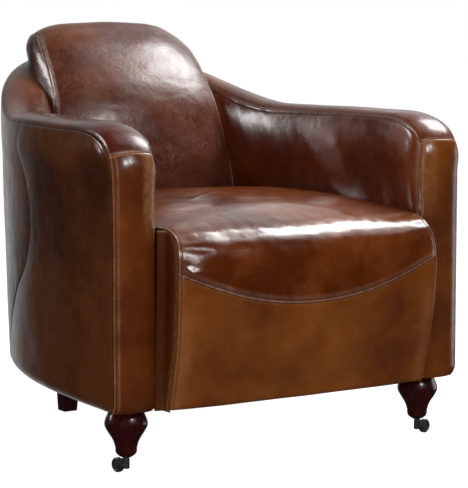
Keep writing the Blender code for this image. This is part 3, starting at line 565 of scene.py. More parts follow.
def leather(name, dark, middle, warm, pale, cracks=0.5, gloss=0.30, coat=0.20):
    """Waxed aniline hide. cracks is how far the old wax has crazed."""
    fixed = {"IOR": 1.5, "Coat Weight": coat, "Coat Roughness": 0.13}
    material, tree, shader, here = new_material(name, fixed)
    seam, wear_and_highlight, tone = (
        node(tree, "Attribute", attribute_name=which)["Fac"] for which in ("seam", "wear_and_highlight", "tone")
    )

    # Clouds of stain and wax, hand-sized and coin-sized, on top of the tone that the panel itself asks for.
    clouds = node(tree, "TexNoise", {"Vector": here, "Scale": per_metre(130), "Detail": 3.0})["Fac"]
    mottle = node(tree, "TexNoise", {"Vector": here, "Scale": per_metre(26), "Detail": 4.0})["Fac"]
    for part, weight in ((clouds, 1.5), (mottle, 0.3)):
        tone = node(tree, "Math", {0: part, 1: weight, 2: tone}, operation="MULTIPLY_ADD")[0]
    tone = node(tree, "Math", {0: tone, 1: 0.45}, operation="SUBTRACT")[0]
    colour = node(tree, "ValToRGB", {"Fac": tone},
                  stops=[(0.0, linear(dark)), (0.5, linear(middle)), (1.0, linear(warm))])["Color"]

    # Crazed wax: hair-thin lines, where a cloudy noise crosses its middle value. The first noise makes a
    # net, the others are drawn out into scratches along two slants. Real lines are 0.2 mm wide and these
    # about 1 mm, so that they still show from across a room.
    patches = node(tree, "TexNoise", {"Vector": here, "Scale": per_metre(55), "Detail": 4.0})["Fac"]
    patches = node(tree, "MapRange", {"Value": patches, 1: 0.36, 2: 0.66})[0]
    marks = None
    for size, slant, long, half, full in CRAZING:
        turned = node(tree, "Mapping", {"Vector": here, "Rotation": slant, "Scale": (1.0, 1.0, long)},
                      vector_type="TEXTURE")[0]
        field = node(tree, "TexNoise", {"Vector": turned, "Scale": per_metre(size), "Detail": 1.5,
                                        "Roughness": 0.5})["Fac"]
        away = node(tree, "Math", {0: field, 1: 0.5}, operation="SUBTRACT")[0]
        away = node(tree, "Math", {0: away}, operation="ABSOLUTE")[0]
        line = node(tree, "MapRange", {"Value": away, 1: 0.0, 2: half, 3: full, 4: 0.0})[0]
        marks = line if marks is None else node(tree, "Math", {0: line, 1: marks}, operation="MAXIMUM")[0]
    marks = node(tree, "Math", {0: marks, 1: patches}, operation="MULTIPLY")[0]
    marks = node(tree, "Math", {0: marks, 1: cracks}, operation="MULTIPLY")[0]

    # Rubbed places show the paler tan, as do the painted highlights, sheen and reflection that share their
    # mark. Seams hold dirt, and the painted shade that shares their mark darkens towards near black too.
    rough_edge = node(tree, "TexNoise", {"Vector": here, "Scale": per_metre(9), "Detail": 3.0})["Fac"]
    rough_edge = node(tree, "MapRange", {"Value": rough_edge, 1: 0.32, 2: 0.68, 3: 0.45, 4: 1.0})[0]
    rub_and_highlight = node(tree, "Math", {0: wear_and_highlight, 1: rough_edge}, operation="MULTIPLY")[0]
    lighter = node(tree, "Math", {0: marks, 1: 0.45 * cracks, 2: rub_and_highlight},
                   operation="MULTIPLY_ADD", use_clamp=True)[0]
    worn_and_lit = node(tree, "Mix", {0: lighter, 6: colour, 7: linear(pale)}, data_type="RGBA")[2]
    grime_and_shade = node(tree, "Math", {0: seam, 1: 0.8}, operation="MULTIPLY")[0]
    final = node(tree, "Mix", {0: grime_and_shade, 6: worn_and_lit, 7: linear("#1A0A04")}, data_type="RGBA")[2]
    tree.links.new(final, shader.inputs["Base Color"])

    # Relief, in millimetres: soft wrinkles, creases, pores, and the crazing as fine cuts.
    wrinkles = node(tree, "TexNoise", {"Vector": here, "Scale": per_metre(18), "Detail": 2.0})["Fac"]
    creased = node(tree, "TexNoise", {"Vector": here, "Scale": per_metre(7), "Detail": 1.0})["Fac"]
    pores = node(tree, "TexVoronoi", {"Vector": here, "Scale": per_metre(3.5)}, feature="SMOOTH_F1")[0]
    relief = node(tree, "Math", {0: wrinkles, 1: WRINKLE_RELIEF}, operation="MULTIPLY")[0]
    for part, height in ((creased, 0.03 + 0.27 * cracks), (pores, PORE_RELIEF), (marks, CRAZING_RELIEF)):
        relief = node(tree, "Math", {0: part, 1: height, 2: relief}, operation="MULTIPLY_ADD")[0]
    bump = node(tree, "Bump", {"Height": relief, "Strength": 1.0, "Distance": 0.001})["Normal"]
    tree.links.new(bump, shader.inputs["Normal"])
    dull = node(tree, "MapRange", {"Value": mottle, 1: 0.3, 2: 0.7, 3: gloss - 0.05, 4: gloss + 0.06})[0]
    dull = node(tree, "Math", {0: lighter, 1: 0.12, 2: dull}, operation="MULTIPLY_ADD")[0]
    tree.links.new(dull, shader.inputs["Roughness"])
    return material


print("layers of crazing:", len(CRAZING))

# %% The chair's leathers
# Rubbed panels show tan. The outsides stay dark. What is sat on or leaned on is chestnut with crazed wax.
FRONT_HIDE = leather("waxed_cowhide_cognac", "#421902", "#5C2A08", "#7C420F", "#A06A42",
                     cracks=0.10, gloss=0.24)
ARM_HIDE = leather("waxed_cowhide_arm", "#351004", "#561F08", "#783A10", "#94705A",
                   cracks=0.30, gloss=0.28, coat=0.08)
OUTSIDE_HIDE = leather("waxed_cowhide_umber", "#281004", "#421D09", "#5E300F", "#7A5840",
                       cracks=0.15, gloss=0.23)
SEAT_HIDE = leather("waxed_cowhide_seat", "#3A1200", "#501E00", "#7C3C12", "#9A7462",
                    cracks=0.45, gloss=0.21)
BACK_HIDE = leather("waxed_cowhide_back", "#361408", "#552616", "#703C20", "#A08070",
                    cracks=0.8, gloss=0.31, coat=0.12)
print("leathers:", [m.name for m in bpy.data.materials])


# %% [markdown]
# ## Thread, wood, cloth, metal, rubber and foam
#
# Each other material has one pattern: the twist of a thread, the grain of wood, a weave, the blotches of
# oiled or blackened steel, the cells of foam. A pattern made of nodes keeps its real size on every part,
# which a picture stretched over it wouldn't. So one function spreads a pattern between colours, and lifts
# or dulls the surface with it.

# %% Patterns
def grain(millimetres, detail, stretch=None, distortion=0.0):
    """Blotches of a size. A small stretch along an axis draws them out into the grain of wood."""

    def pattern(tree, here):
        if stretch:
            here = node(tree, "Mapping", {"Vector": here, "Scale": stretch})[0]
        return node(tree, "TexNoise", {"Vector": here, "Scale": per_metre(millimetres), "Detail": detail,
                                       "Distortion": distortion})["Fac"]

    return pattern


def woven(thread_mm):
    """Plain weave: two crossed waves, each as long as two threads."""

    def pattern(tree, here):
        # A wave texture repeats about every 0.3 / Scale.
        waves = [node(tree, "TexWave", {"Vector": here, "Scale": per_metre(thread_mm) / 6.0},
                      bands_direction=direction)["Fac"] for direction in ("X", "Y")]
        return node(tree, "Math", {0: waves[0], 1: waves[1]}, operation="MULTIPLY")[0]

    return pattern


def pitted(tree, here):
    """Open cells, 2 mm wide."""
    return node(tree, "TexVoronoi", {"Vector": here, "Scale": per_metre(2.0)})["Distance"]


def patterned(name, pattern, colours, fixed, relief=None, dull=None):
    """A material with one pattern, spread over colours at their places in it. relief is the strength and the
    height in metres of its bump, and dull a roughness that it varies."""
    material, tree, shader, here = new_material(name, fixed)
    value = pattern(tree, here)
    tint = node(tree, "ValToRGB", {"Fac": value}, stops=[(at, linear(colour)) for at, colour in colours])[0]
    tree.links.new(tint, shader.inputs["Base Color"])
    if relief:
        bump = node(tree, "Bump", {"Height": value, "Strength": relief[0], "Distance": relief[1]})["Normal"]
        tree.links.new(bump, shader.inputs["Normal"])
    if dull:
        gloss = node(tree, "MapRange", {"Value": value, 1: 0.3, 2: 0.7, 3: dull - 0.06, 4: dull + 0.08})[0]
        tree.links.new(gloss, shader.inputs["Roughness"])
    return material


print("patterns:", [make.__name__ for make in (grain, woven, pitted)])

# %% Other finishes
# Linen thread, rubbed with wax: tan and matt, with the twist of its strands.
THREAD = patterned("waxed_linen_thread", grain(3.0, 2.0), [(0.3, "#3A2114"), (0.7, "#5E3C28")],
                   {"Roughness": 0.6})
# Turned mahogany, stained and French-polished: almost black-red and glassy, with fine grain along the wood.
MAHOGANY = patterned("polished_mahogany", grain(2.5, 4.0, (1.0, 1.0, 0.08)),
                     [(0.30, "#1A0403"), (0.55, "#320A09"), (0.75, "#521512")],
                     {"Roughness": 0.28, "Coat Weight": 0.4, "Coat Roughness": 0.10}, relief=(0.15, 0.0003))
# Planed beech and birch plywood, left bare: matt, with long grain.
BEECH = patterned("planed_beech", grain(3.0, 5.0, (1.0, 0.12, 1.0), 0.6),
                  [(0.3, "#A5794C"), (0.7, "#C49A6A")], {"Roughness": 0.62}, relief=(0.3, 0.0004))
PLYWOOD = patterned("birch_plywood", grain(6.0, 5.0, (0.3, 0.3, 1.0), 0.6),
                    [(0.3, "#B08F60"), (0.7, "#D0B184")], {"Roughness": 0.62}, relief=(0.3, 0.0004))
# Jute hessian and cotton dust cloth: dry plain weaves.
HESSIAN = patterned("jute_hessian", woven(2.0), [(0.0, "#6E5634"), (0.8, "#A98E62")],
                    {"Roughness": 0.9}, relief=(0.5, 0.0005))
BLACK_CLOTH = patterned("black_dust_cloth", woven(1.2), [(0.0, "#0E0E0E"), (0.8, "#222121")],
                        {"Roughness": 0.9}, relief=(0.5, 0.0005))
# Oiled spring wire, caster steel under a black film that hides most of the metal, and moulded hard rubber.
SPRING_STEEL = patterned("oiled_spring_steel", grain(6.0, 3.0), [(0.3, "#55585A"), (0.7, "#7A7E80")],
                         {"Metallic": 1.0}, dull=0.38)
CASTER_STEEL = patterned("blackened_caster_steel", grain(6.0, 3.0), [(0.3, "#262724"), (0.7, "#4A4B46")],
                         {"Metallic": 0.35}, dull=0.34)
CASTER_RUBBER = patterned("hard_caster_rubber", grain(6.0, 3.0), [(0.3, "#1A1B19"), (0.7, "#2E2F2C")],
                          {"Metallic": 0.0}, dull=0.40)
# Open-cell upholstery foam: pale yellow, pitted all over.
FOAM = patterned("upholstery_foam", pitted, [(0.0, "#C9BC8E"), (0.7, "#E6DDB8")],
                 {"Roughness": 0.95}, relief=(0.6, 0.0006))
print("materials so far:", len(bpy.data.materials))

# %% Finishes of the parts that came with the frame
FINISH_OF = {
    "front_foot": MAHOGANY, "rear_leg": MAHOGANY, "caster_wheel": CASTER_RUBBER, "caster_": CASTER_STEEL,
    "seat_spring": SPRING_STEEL, "deck_cloth": HESSIAN, "back_web": HESSIAN, "dust_cover": BLACK_CLOTH,
    "side_panel": PLYWOOD, "back_panel": PLYWOOD, "nose_board": PLYWOOD, "foam": FOAM,
    "outside_": OUTSIDE_HIDE, "arm_facing": FRONT_HIDE, "arm_band": ARM_HIDE, "inside_arm": ARM_HIDE,
    "seat_cover_top": SEAT_HIDE, "seat_cover_front": FRONT_HIDE, "seat_gusset": FRONT_HIDE,
    "back_cover": BACK_HIDE, "back_boxing": BACK_HIDE,
}
for name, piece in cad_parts.items():
    finish = next((material for key, material in FINISH_OF.items() if key in name), BEECH)
    piece.data.materials.clear()
    piece.data.materials.append(finish)
print("frame pieces finished:", len(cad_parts))

# %% [markdown]
# ## The rim of an arm
#
# An arm's front and its top are one long strip, domed between two seams. It climbs the front, turns over a
# rounded corner, runs level and then sweeps up behind the back. So the rim is one path in (run, height),
# measured along its length, and the strip's cross-section is carried along it. The outer seam sits a little
# below the arm's top edge, and the inner one wraps a little way round the arm's inside corner.

# %% Rim path
FRONT_POINTS, CORNER_POINTS = 59, 60
UP_FRONT = np.s_[: FRONT_POINTS + CORNER_POINTS - 1]  # up the front and round the corner
FROM_CORNER = np.s_[FRONT_POINTS:]  # the corner and all of the top
corner_turn = np.linspace(0, math.pi / 2, CORNER_POINTS)
corner_run = CORNER_RUN * (1 - np.clip(np.cos(corner_turn), 0, 1) ** (1 / CORNER_POWER))
corner_base = ARM_EDGE - CORNER_RISE
corner_z = corner_base + CORNER_RISE * np.sin(corner_turn) ** (1 / CORNER_POWER)
front_z = np.linspace(BODY_BOTTOM, corner_base, FRONT_POINTS, endpoint=False)
top_run = np.linspace(CORNER_RUN, 2 * WALL_LENGTH - CORNER_RUN, 700)[1:]
RIM_RUN = np.concatenate([np.zeros(FRONT_POINTS), corner_run, top_run])
RIM_Z = np.concatenate([front_z, corner_z, edge_height(top_run)])
RIM_S = np.concatenate([[0.0], np.cumsum(np.hypot(np.diff(RIM_RUN), np.diff(RIM_Z)))])
RIM_BACK = np.gradient(RIM_RUN, RIM_S)
RIM_RISE = np.gradient(RIM_Z, RIM_S)
for tangent in (RIM_BACK, RIM_RISE):
    tangent[:] = np.convolve(np.pad(tangent, 3, mode="edge"), np.ones(7) / 7, mode="valid")
S_SEAM = float(np.interp(FACING_SEAM, RIM_Z[UP_FRONT], RIM_S[UP_FRONT]))  # the seam between front and top
S_CORNER = float(np.interp(CORNER_RUN * 0.32, RIM_RUN[FROM_CORNER], RIM_S[FROM_CORNER]))
OUTER_RETURN = 0.006
INNER_RETURN = 0.0092
EDGE_ROUND = 0.0025


def rim(s):
    """Run, height, and the two parts of the way onward, at distances s along the rim."""
    return [np.interp(s, RIM_S, table) for table in (RIM_RUN, RIM_Z, RIM_BACK, RIM_RISE)]


def rim_s(run):
    """Distance along the rim at a run on the arm's top."""
    return float(np.interp(run, RIM_RUN[FROM_CORNER], RIM_S[FROM_CORNER]))


def returns(s):
    """How far the strip's leather turns down beyond the outer and the inner edge of the arm."""
    on_top = smooth_step((s - S_SEAM + 0.05) / 0.11)
    return OUTER_RETURN * on_top, INNER_RETURN * (1 - on_top)


def rim_edge(s, outer):
    """(run, height) of the strip's outer or inner seam."""
    run, z, back, rise = rim(s)
    drop = returns(s)[0 if outer else 1]
    return np.stack([run + drop * rise, z - drop * back], -1)


def strip(side, s, across):
    """Points on the domed strip: across is 0 at the outer seam and 1 at the inner one."""
    run, z, back, rise = rim(s)
    outer, inner = returns(s)
    q = across * (outer + WALL + inner) - outer
    fall_out = EDGE_ROUND * np.log1p(np.exp(-q / EDGE_ROUND))
    fall_in = EDGE_ROUND * np.log1p(np.exp((q - WALL) / EDGE_ROUND))
    inset = q + fall_out - fall_in
    height = CROWN * (1 - np.abs(2 * np.clip(inset / WALL, 0, 1) - 1) ** 2.4) - fall_out - fall_in
    height = height - 0.010 * np.clip(1 - (z - BODY_BOTTOM) / 0.018, 0, 1) ** 2
    here = wall(run, z, inset, side)
    along = wall(run + 0.002, z, inset, side) - here
    along /= np.linalg.norm(along, axis=-1, keepdims=True)
    up = np.array([0.0, 0.0, 1.0])
    return here + height[..., None] * (up * back[..., None] - along * rise[..., None])


print("rim length", round(float(RIM_S[-1]) / 2, 3), "seam at", round(S_SEAM, 3))


# %% Edge curves and patches
def patch(left, right, bottom, top):
    """A smooth patch between four edge curves. Each is a function of 0 to 1 that gives points."""

    def blend(a, b):
        u, v = a[..., None], b[..., None]
        zero, one = np.zeros(()), np.ones(())
        corners = (1 - u) * (1 - v) * bottom(zero) + u * (1 - v) * bottom(one)
        corners = corners + (1 - u) * v * top(zero) + u * v * top(one)
        return (1 - u) * left(b) + u * right(b) + (1 - v) * bottom(a) + v * top(a) - corners

    return blend


def tuck(z):
    """The covers turn under at the bottom edge."""
    return 0.012 * np.clip(1 - (z - BODY_BOTTOM) / 0.02, 0, 1) ** 2


def on_wall(edges, side, inset, tucked=True):
    """The surface that a patch in (run, height) covers on the wall."""
    spread = patch(*edges)

    def surface(a, b):
        run, z = np.moveaxis(spread(a, b), -1, 0)
        return wall(run, z, inset + (tuck(z) if tucked else 0), side)

    return surface


# The seam between the outside of an arm and the back, from the bottom up. A point is (height, distance
# behind the arm fronts).
OUTSIDE_SEAM = ((0.116, 0.548), (0.170, 0.532), (0.225, 0.500), (0.285, 0.440), (0.335, 0.376),
                (0.385, 0.345), (0.440, 0.340), (0.500, 0.362), (0.550, 0.382), (0.594, 0.370))
SEAM_Z, SEAM_BEHIND = np.array(OUTSIDE_SEAM).T
SEAM_RUN = np.interp(SEAM_BEHIND, PLAN_Y, RUNS)


def outside_seam(b):
    """(run, height) up the seam, b from 0 at the bottom to 1 at the top."""
    z = BODY_BOTTOM + (SEAM_TOP[1] - BODY_BOTTOM) * b
    return np.stack([through(SEAM_Z, SEAM_RUN, z), z], -1)


s_top = rim_s(SEAM_RUN[-1])
SEAM_TOP = rim_edge(np.array(s_top), outer=True)
s_half_corner = S_CORNER - 0.02


def straight(start, end):
    """A straight edge curve."""
    return lambda t: np.array(start) + np.asarray(t)[..., None] * (np.array(end) - np.array(start))


def rim_between(s0, s1, outer):
    """An edge curve along the strip's outer or inner seam."""
    return lambda t: rim_edge(s0 + (s1 - s0) * np.asarray(t), outer)


print("outside seam meets the rim at", SEAM_TOP.round(3))

# %% [markdown]
# ## The outside of the arms and back
#
# One hide covers each arm's outside and another wraps the whole back. They meet in a long curved seam that
# swings forward at elbow height and back again below. The outside hides are stretched over board, so they
# are nearly flat, with a few shallow dents where hands and other furniture have knocked them.

# %% Outside arms
OUTSIDE_MIDDLE = (0.0, 0.05, 0.35)
# Knocks as (distance back, height, radius, depth), and drag lines from one (distance back, height) to
# another.
KNOCKS = ((0.165, 0.505, 0.013, 0.0011), (0.135, 0.488, 0.009, 0.0009), (0.150, 0.462, 0.012, 0.0008),
          (0.105, 0.335, 0.016, 0.0009), (0.095, 0.300, 0.011, 0.0007))
DRAG_LINES = (((0.185, 0.532), (0.150, 0.520)), ((0.150, 0.500), (0.138, 0.470)),
              ((0.160, 0.488), (0.128, 0.500)), ((0.110, 0.350), (0.094, 0.318)),
              ((0.100, 0.320), (0.112, 0.286)))


def outside_arm_shape(side):
    """Knocks and drag lines near the arm's front, long soft waves, and a roll of padding under the top."""

    def shape(grid, edges):
        x = side * HALF_WIDTH
        height = np.zeros(grid.shape[:2])
        for y, z, radius, depth in KNOCKS:
            gap = np.linalg.norm(grid - (x, ARM_FRONT_Y + y, z), axis=2)
            height -= depth * hump(gap, 0, radius)
        for line in DRAG_LINES:
            height += crease(grid, [(x, ARM_FRONT_Y + y, z) for y, z in line], 0.0034, 0.0009)
        drape = noise(grid * np.array([1.0, 1.0, 0.35]), 0.07, 11)
        puffed = 0.0085 * settle(edges[0], 0.014) * hump(grid[..., 2], 0.555, 0.040)
        return height + puffed + 0.0011 * drape * settle(edges[2], 0.05)

    return shape


def even_tone(value):
    """The same tone all over a panel."""
    return lambda points: np.full(points.shape[:2], value)


def outside_tone_and_light(points):
    """Darkest in the middle of the side, warmer under the arm's top, and lighter low down, where light
    bounced up from the floor is painted in.
    """
    z = points[..., 2]
    return 0.08 + 0.50 * smooth_step((z - 0.51) / 0.07) + 0.50 * smooth_step((0.44 - z) / 0.14)


MADE = {}
for label, side in SIDES.items():
    edges = (rim_between(0.0, s_half_corner, True), outside_seam,
             straight((0.0, BODY_BOTTOM), (SEAM_RUN[0], BODY_BOTTOM)),
             rim_between(s_half_corner, s_top, True))
    MADE["outside_" + label] = panel(
        f"leather_outside_arm_{label}", on_wall(edges, side, 0.0), OUTSIDE_HIDE, "leather_outside",
        OUTSIDE_MIDDLE, step=0.0045, seams=(1, 1, 0, 1), rubbed_and_lit=(0.5, 0.2, 0, 0.8), plump=0.0012,
        slack=0.0012, shape=outside_arm_shape(side), tone=outside_tone_and_light)
    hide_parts(f"outside_arm_cover_{label}")

# %% Outside back
def far_seam(b):
    """The same seam beside the other arm, reached round the back."""
    run, z = np.moveaxis(outside_seam(b), -1, 0)
    return np.stack([2 * WALL_LENGTH - run, z], -1)


def back_rim(t):
    """(run, height) of the outer seam from one arm round the back to the other."""
    run = SEAM_TOP[0] + (2 * WALL_LENGTH - 2 * SEAM_TOP[0]) * np.asarray(t)
    return np.stack([run, edge_height(run) - OUTER_RETURN], -1)


bottom_edge = straight((SEAM_RUN[0], BODY_BOTTOM), (2 * WALL_LENGTH - SEAM_RUN[0], BODY_BOTTOM))
edges = (outside_seam, far_seam, bottom_edge, back_rim)
MADE["outside_back"] = panel(
    "leather_outside_back", on_wall(edges, 1.0, 0.0), OUTSIDE_HIDE, "leather_outside", OUTSIDE_MIDDLE,
    step=0.0052, seams=(1, 1, 0, 1), rubbed_and_lit=(0.3, 0.3, 0, 0.8), plump=0.0016, slack=0.0016,
    tone=even_tone(0.30))
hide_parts("outside_back_cover")

# %% [markdown]
# ## Arm fronts and arm tops
#
# The strip over each arm is two hides: a facing up the front and a long band from the corner round to the
# middle of the back. Down both sides of the facing the seams are top-stitched twice, and the inner one is
# puckered.

# %% Facings and bands
def facing(side):
    """An arm's front: across from the outer seam, then up."""
    return lambda a, b: strip(side, b * S_SEAM, a)


def band(side):
    """An arm's top: across from the outer seam, then on to the middle of the back."""
    s_end = rim_s(WALL_LENGTH)
    return lambda a, b: strip(side, S_SEAM + (s_end - S_SEAM) * b, a)


def facing_shape(side):
    """A fuller top, and cross wrinkles beside the inner seam."""

    def shape(grid, edges):
        near_inner = np.exp(-edges[1] / 0.016)
        wave = np.stack([edges[2], 0.3 * edges[1], np.full_like(edges[1], 0.5 * side)], -1)
        wrinkles = 0.0009 * noise(wave, 0.013, 21) * near_inner
        return wrinkles + 0.0025 * hump(edges[3], 0.030, 0.022)

    return shape


def shade_beside_back(points):
    """Painted shade in the gap between the shell and the back cushion, where the cushion shades the arm's top
    and inside.
    """
    gap = np.maximum(np.abs(points[..., 0]) - 0.178, 0)
    return 1.1 * smooth_step((points[..., 2] - 0.620) / 0.03) * hump(gap, 0, 0.020)


FACING_TONE_AND_LIGHT = {"left": -0.12, "right": 0.15}  # the right arm's front, on the key lamp's side, is drawn lighter than the left: painted light


def facing_wear_and_sheen(points):
    """Sleeves and hands chafe the inner half of an arm's front, above the seat, more on the left; the pale
    patch is also a painted sheen.
    """
    across = HALF_WIDTH - np.abs(points[..., 0])
    full = np.where(points[..., 0] < 0, 0.55, 0.22)
    return full * smooth_step((across - 0.050) / 0.014) * smooth_step((points[..., 2] - 0.40) / 0.07)


for label, side in SIDES.items():
    MADE["facing_" + label] = panel(
        f"leather_arm_facing_{label}", facing(side), FRONT_HIDE, "leather_front", (side * 0.32, 0.0, 0.35),
        step=0.0032, seams=(0.8, 0.15, 0, 0.15), stitched=(1, 1, 0, 0), rubbed_and_lit=(1.2, 2.0, 0, 2.2),
        plump=0.0012, slack=0.0009, shape=facing_shape(side), tone=even_tone(FACING_TONE_AND_LIGHT[label]),
        worn_and_lit=facing_wear_and_sheen)
    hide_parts(f"arm_facing_{label}")
    MADE["band_" + label] = panel(
        f"leather_arm_band_{label}", band(side), ARM_HIDE, "leather_arm", (0.0, 0.0, 0.2),
        step=0.0032, seams=(1, 0.6, 0.15, 1), rubbed_and_lit=(0.8, 1.0, 2.2, 0.3), plump=0.0014, slack=0.0012,
        tone=lambda points: 0.45 * smooth_step((points[..., 2] - 0.615) / 0.05), painted_shade=shade_beside_back)
    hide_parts(f"arm_band_{label}", f"arm_foam_{label}")

# %% [markdown]
# ## Inside the arms
#
# The inside hides are pulled over padding, so they swell between the seam along the top and the seat that
# hides their lower part. Around the curve behind the seat the leather gathers into a few upright waves.

# %% Inside arms
INSIDE_END = 0.66  # the inner back hides the rest
INSIDE_LOW = BODY_BOTTOM + 0.002


def inside_floor(t):
    """Lower edge, out of sight beside the seat: lower in front, where the gap beside the nose shows."""
    run = INNER_RETURN + (INSIDE_END - INNER_RETURN) * np.asarray(t)
    return np.stack([run, INSIDE_LOW + 0.264 * smooth_step((run - 0.045) / 0.09)], -1)


def inside_front(b):
    """Front edge: up beside the facing, then round the first half of the corner."""
    low = float(np.interp(INSIDE_LOW, RIM_Z[UP_FRONT], RIM_S[UP_FRONT]))
    return rim_edge(low + (s_half_corner - low) * np.asarray(b), outer=False)


def inside_tone(points):
    """Darker towards the top, where no sleeve has rubbed."""
    return 0.20 - 0.18 * smooth_step((points[..., 2] - 0.16) / 0.36)


def inside_arm_shape(grid, edges):
    """Full padding near the top, upright waves round the rear curve, tension folds at the front seam."""
    run = edges[0]
    rear = smooth_step((run - 0.26) / 0.10)
    full, wide = 0.0125 + 0.0125 * rear, 0.068 + 0.019 * rear
    over = np.clip(edges[3] / wide, 0, 1)
    held = settle(run, 0.012)  # the front seam holds the leather down
    top = full * held * (2 * over - over**2) * hump(np.maximum(edges[3] - wide, 0), 0, 0.11) - 0.001
    waves = np.stack([run, np.zeros_like(run), 0.25 * grid[..., 2]], -1)
    gathered = 0.0012 * noise(waves, 0.020, 31) * smooth_step((run - 0.30) / 0.12) * np.exp(-edges[3] / 0.09)
    front = np.stack([edges[2], 0.4 * run, np.zeros_like(run)], -1)
    pulled = 0.0011 * noise(front, 0.017, 33) * np.exp(-run / 0.022)
    return top + gathered + pulled + 0.004 * held * np.exp(-run / 0.05)


for label, side in SIDES.items():
    end_low = inside_floor(np.ones(()))
    s_end = rim_s(INSIDE_END)
    edges = (inside_front, straight(end_low, rim_edge(np.array(s_end), False)), inside_floor,
             rim_between(s_half_corner, s_end, False))
    MADE["inside_" + label] = panel(
        f"leather_inside_arm_{label}", on_wall(edges, side, WALL, tucked=False), ARM_HIDE, "leather_arm",
        (side, 0.2, 0.5), step=0.0036, seams=(0.5, 0, 0, 0.7), stitched=(0, 0, 0, 1), plump=0.0,
        slack=0.0012, pucker=0.0010, shape=inside_arm_shape, tone=inside_tone, painted_shade=shade_beside_back)
    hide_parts(f"inside_arm_cover_{label}")

# %% [markdown]
# ## The seat
#
# The seat is one deep cushion built onto the springs. Its top hide rolls over the nose and stops at a
# curved seam, lowest in the middle. The front panel hangs from there to the bottom edge, leaning back as it
# falls. Narrow side gussets close the nose. The seat's surface is one sheet between a profile at the sides
# and a fuller one in the middle.

# %% Seat sheet
# Both profiles run from the rear over the nose to the bottom edge. A point is (distance behind the arm
# fronts, height).
SEAT_SIDE = (
    (0.506, 0.436), (0.380, 0.441), (0.240, 0.436), (0.130, 0.4310), (0.062, 0.4300), (0.011, 0.4298),
    (-0.012, 0.4285), (-0.0263, 0.4234), (-0.0370, 0.4170), (-0.0470, 0.4075), (-0.0545, 0.3950),
    (-0.0610, 0.354), (-0.0590, 0.300), (-0.051, 0.225), (-0.035, 0.160), (-0.025, 0.117))
SEAT_MIDDLE = (
    (0.486, 0.444), (0.380, 0.456), (0.240, 0.4615), (0.130, 0.4590), (0.062, 0.4518), (0.011, 0.4396),
    (-0.0203, 0.4292), (-0.0428, 0.4178), (-0.0565, 0.4054), (-0.0651, 0.3925), (-0.0694, 0.3791),
    (-0.0700, 0.354), (-0.0700, 0.300), (-0.060, 0.225), (-0.044, 0.160), (-0.034, 0.117))
# How far the side seams draw in at each of those points.
CORNER_IN = (0, 0, 0, 0.002, 0.004, 0.006, 0.006, 0.006, 0.0055, 0.004, 0.001, -0.002, -0.002, -0.001, 0, 0)
seat_steps = [np.linalg.norm(np.diff(np.array(line), axis=0), axis=1) for line in (SEAT_SIDE, SEAT_MIDDLE)]
SEAT_KNOTS = np.concatenate([[0.0], np.cumsum((seat_steps[0] + seat_steps[1]) / 2)])
SEAT_KNOTS /= SEAT_KNOTS[-1]
SEAT_GAP = 0.0035
ROOM_Y = np.linspace(-0.1, 0.52, 160)
ROOM_HALF = np.array([inside_x(y, 0.44) for y in ROOM_Y]) - SEAT_GAP
SEAM_T = np.linspace(0.45, 0.9, 200)
SEAM_Z_AT = through(SEAT_KNOTS, np.array(SEAT_SIDE)[:, 1], SEAM_T)


def seat_sheet(across, t):
    """Points on the seat: across is -1 to 1 between the side seams, t is 0 at the rear and 1 at the end."""
    side, middle = (through(SEAT_KNOTS, profile, t) for profile in (SEAT_SIDE, SEAT_MIDDLE))
    crown = (1 - np.abs(across) ** 3.6)[..., None]
    y, z = np.moveaxis(side + (middle - side) * crown, -1, 0)
    half = SEAT_HALF + (np.interp(y, ROOM_Y, ROOM_HALF) - SEAT_HALF) * smooth_step(y / 0.05)
    return place((half - through(SEAT_KNOTS, CORNER_IN, t)) * across, y, z)


def seam_at(across):
    """Where the curved seam crosses the sheet."""
    return np.interp(-(SEAM_MIDDLE + SEAM_RISE * across**2), -SEAM_Z_AT, SEAM_T)


def seat_top(a, b):
    """The top hide, from the rear over the nose to the curved seam."""
    across = 2 * a - 1
    return seat_sheet(across, b * seam_at(across))


def seat_front(a, b):
    """The front panel, from the curved seam down."""
    across = 2 * a - 1
    start = seam_at(across)
    return seat_sheet(across, start + (1 - start) * b)


print("seat's crown at z", max(z for _, z in SEAT_MIDDLE), "over", len(SEAT_MIDDLE), "profile points")

# %% Hollows, ridges and folds of the seat
# Two soft ridges that sitting has pushed up: start, end, width, and a negative depth. Then the folds across
# the nose, from one x to another at a height.
SEAT_RIDGES = (((-0.118, 0.156, 0.457), (0.0, 0.256, 0.460), 0.0085, -0.0032),
               ((-0.262, -0.012, 0.431), (-0.215, 0.012, 0.440), 0.0080, -0.0020))
NOSE_FOLDS = ((-0.17, -0.10, 0.345), (-0.12, -0.03, 0.338), (0.03, 0.13, 0.352), (-0.05, 0.05, 0.368))


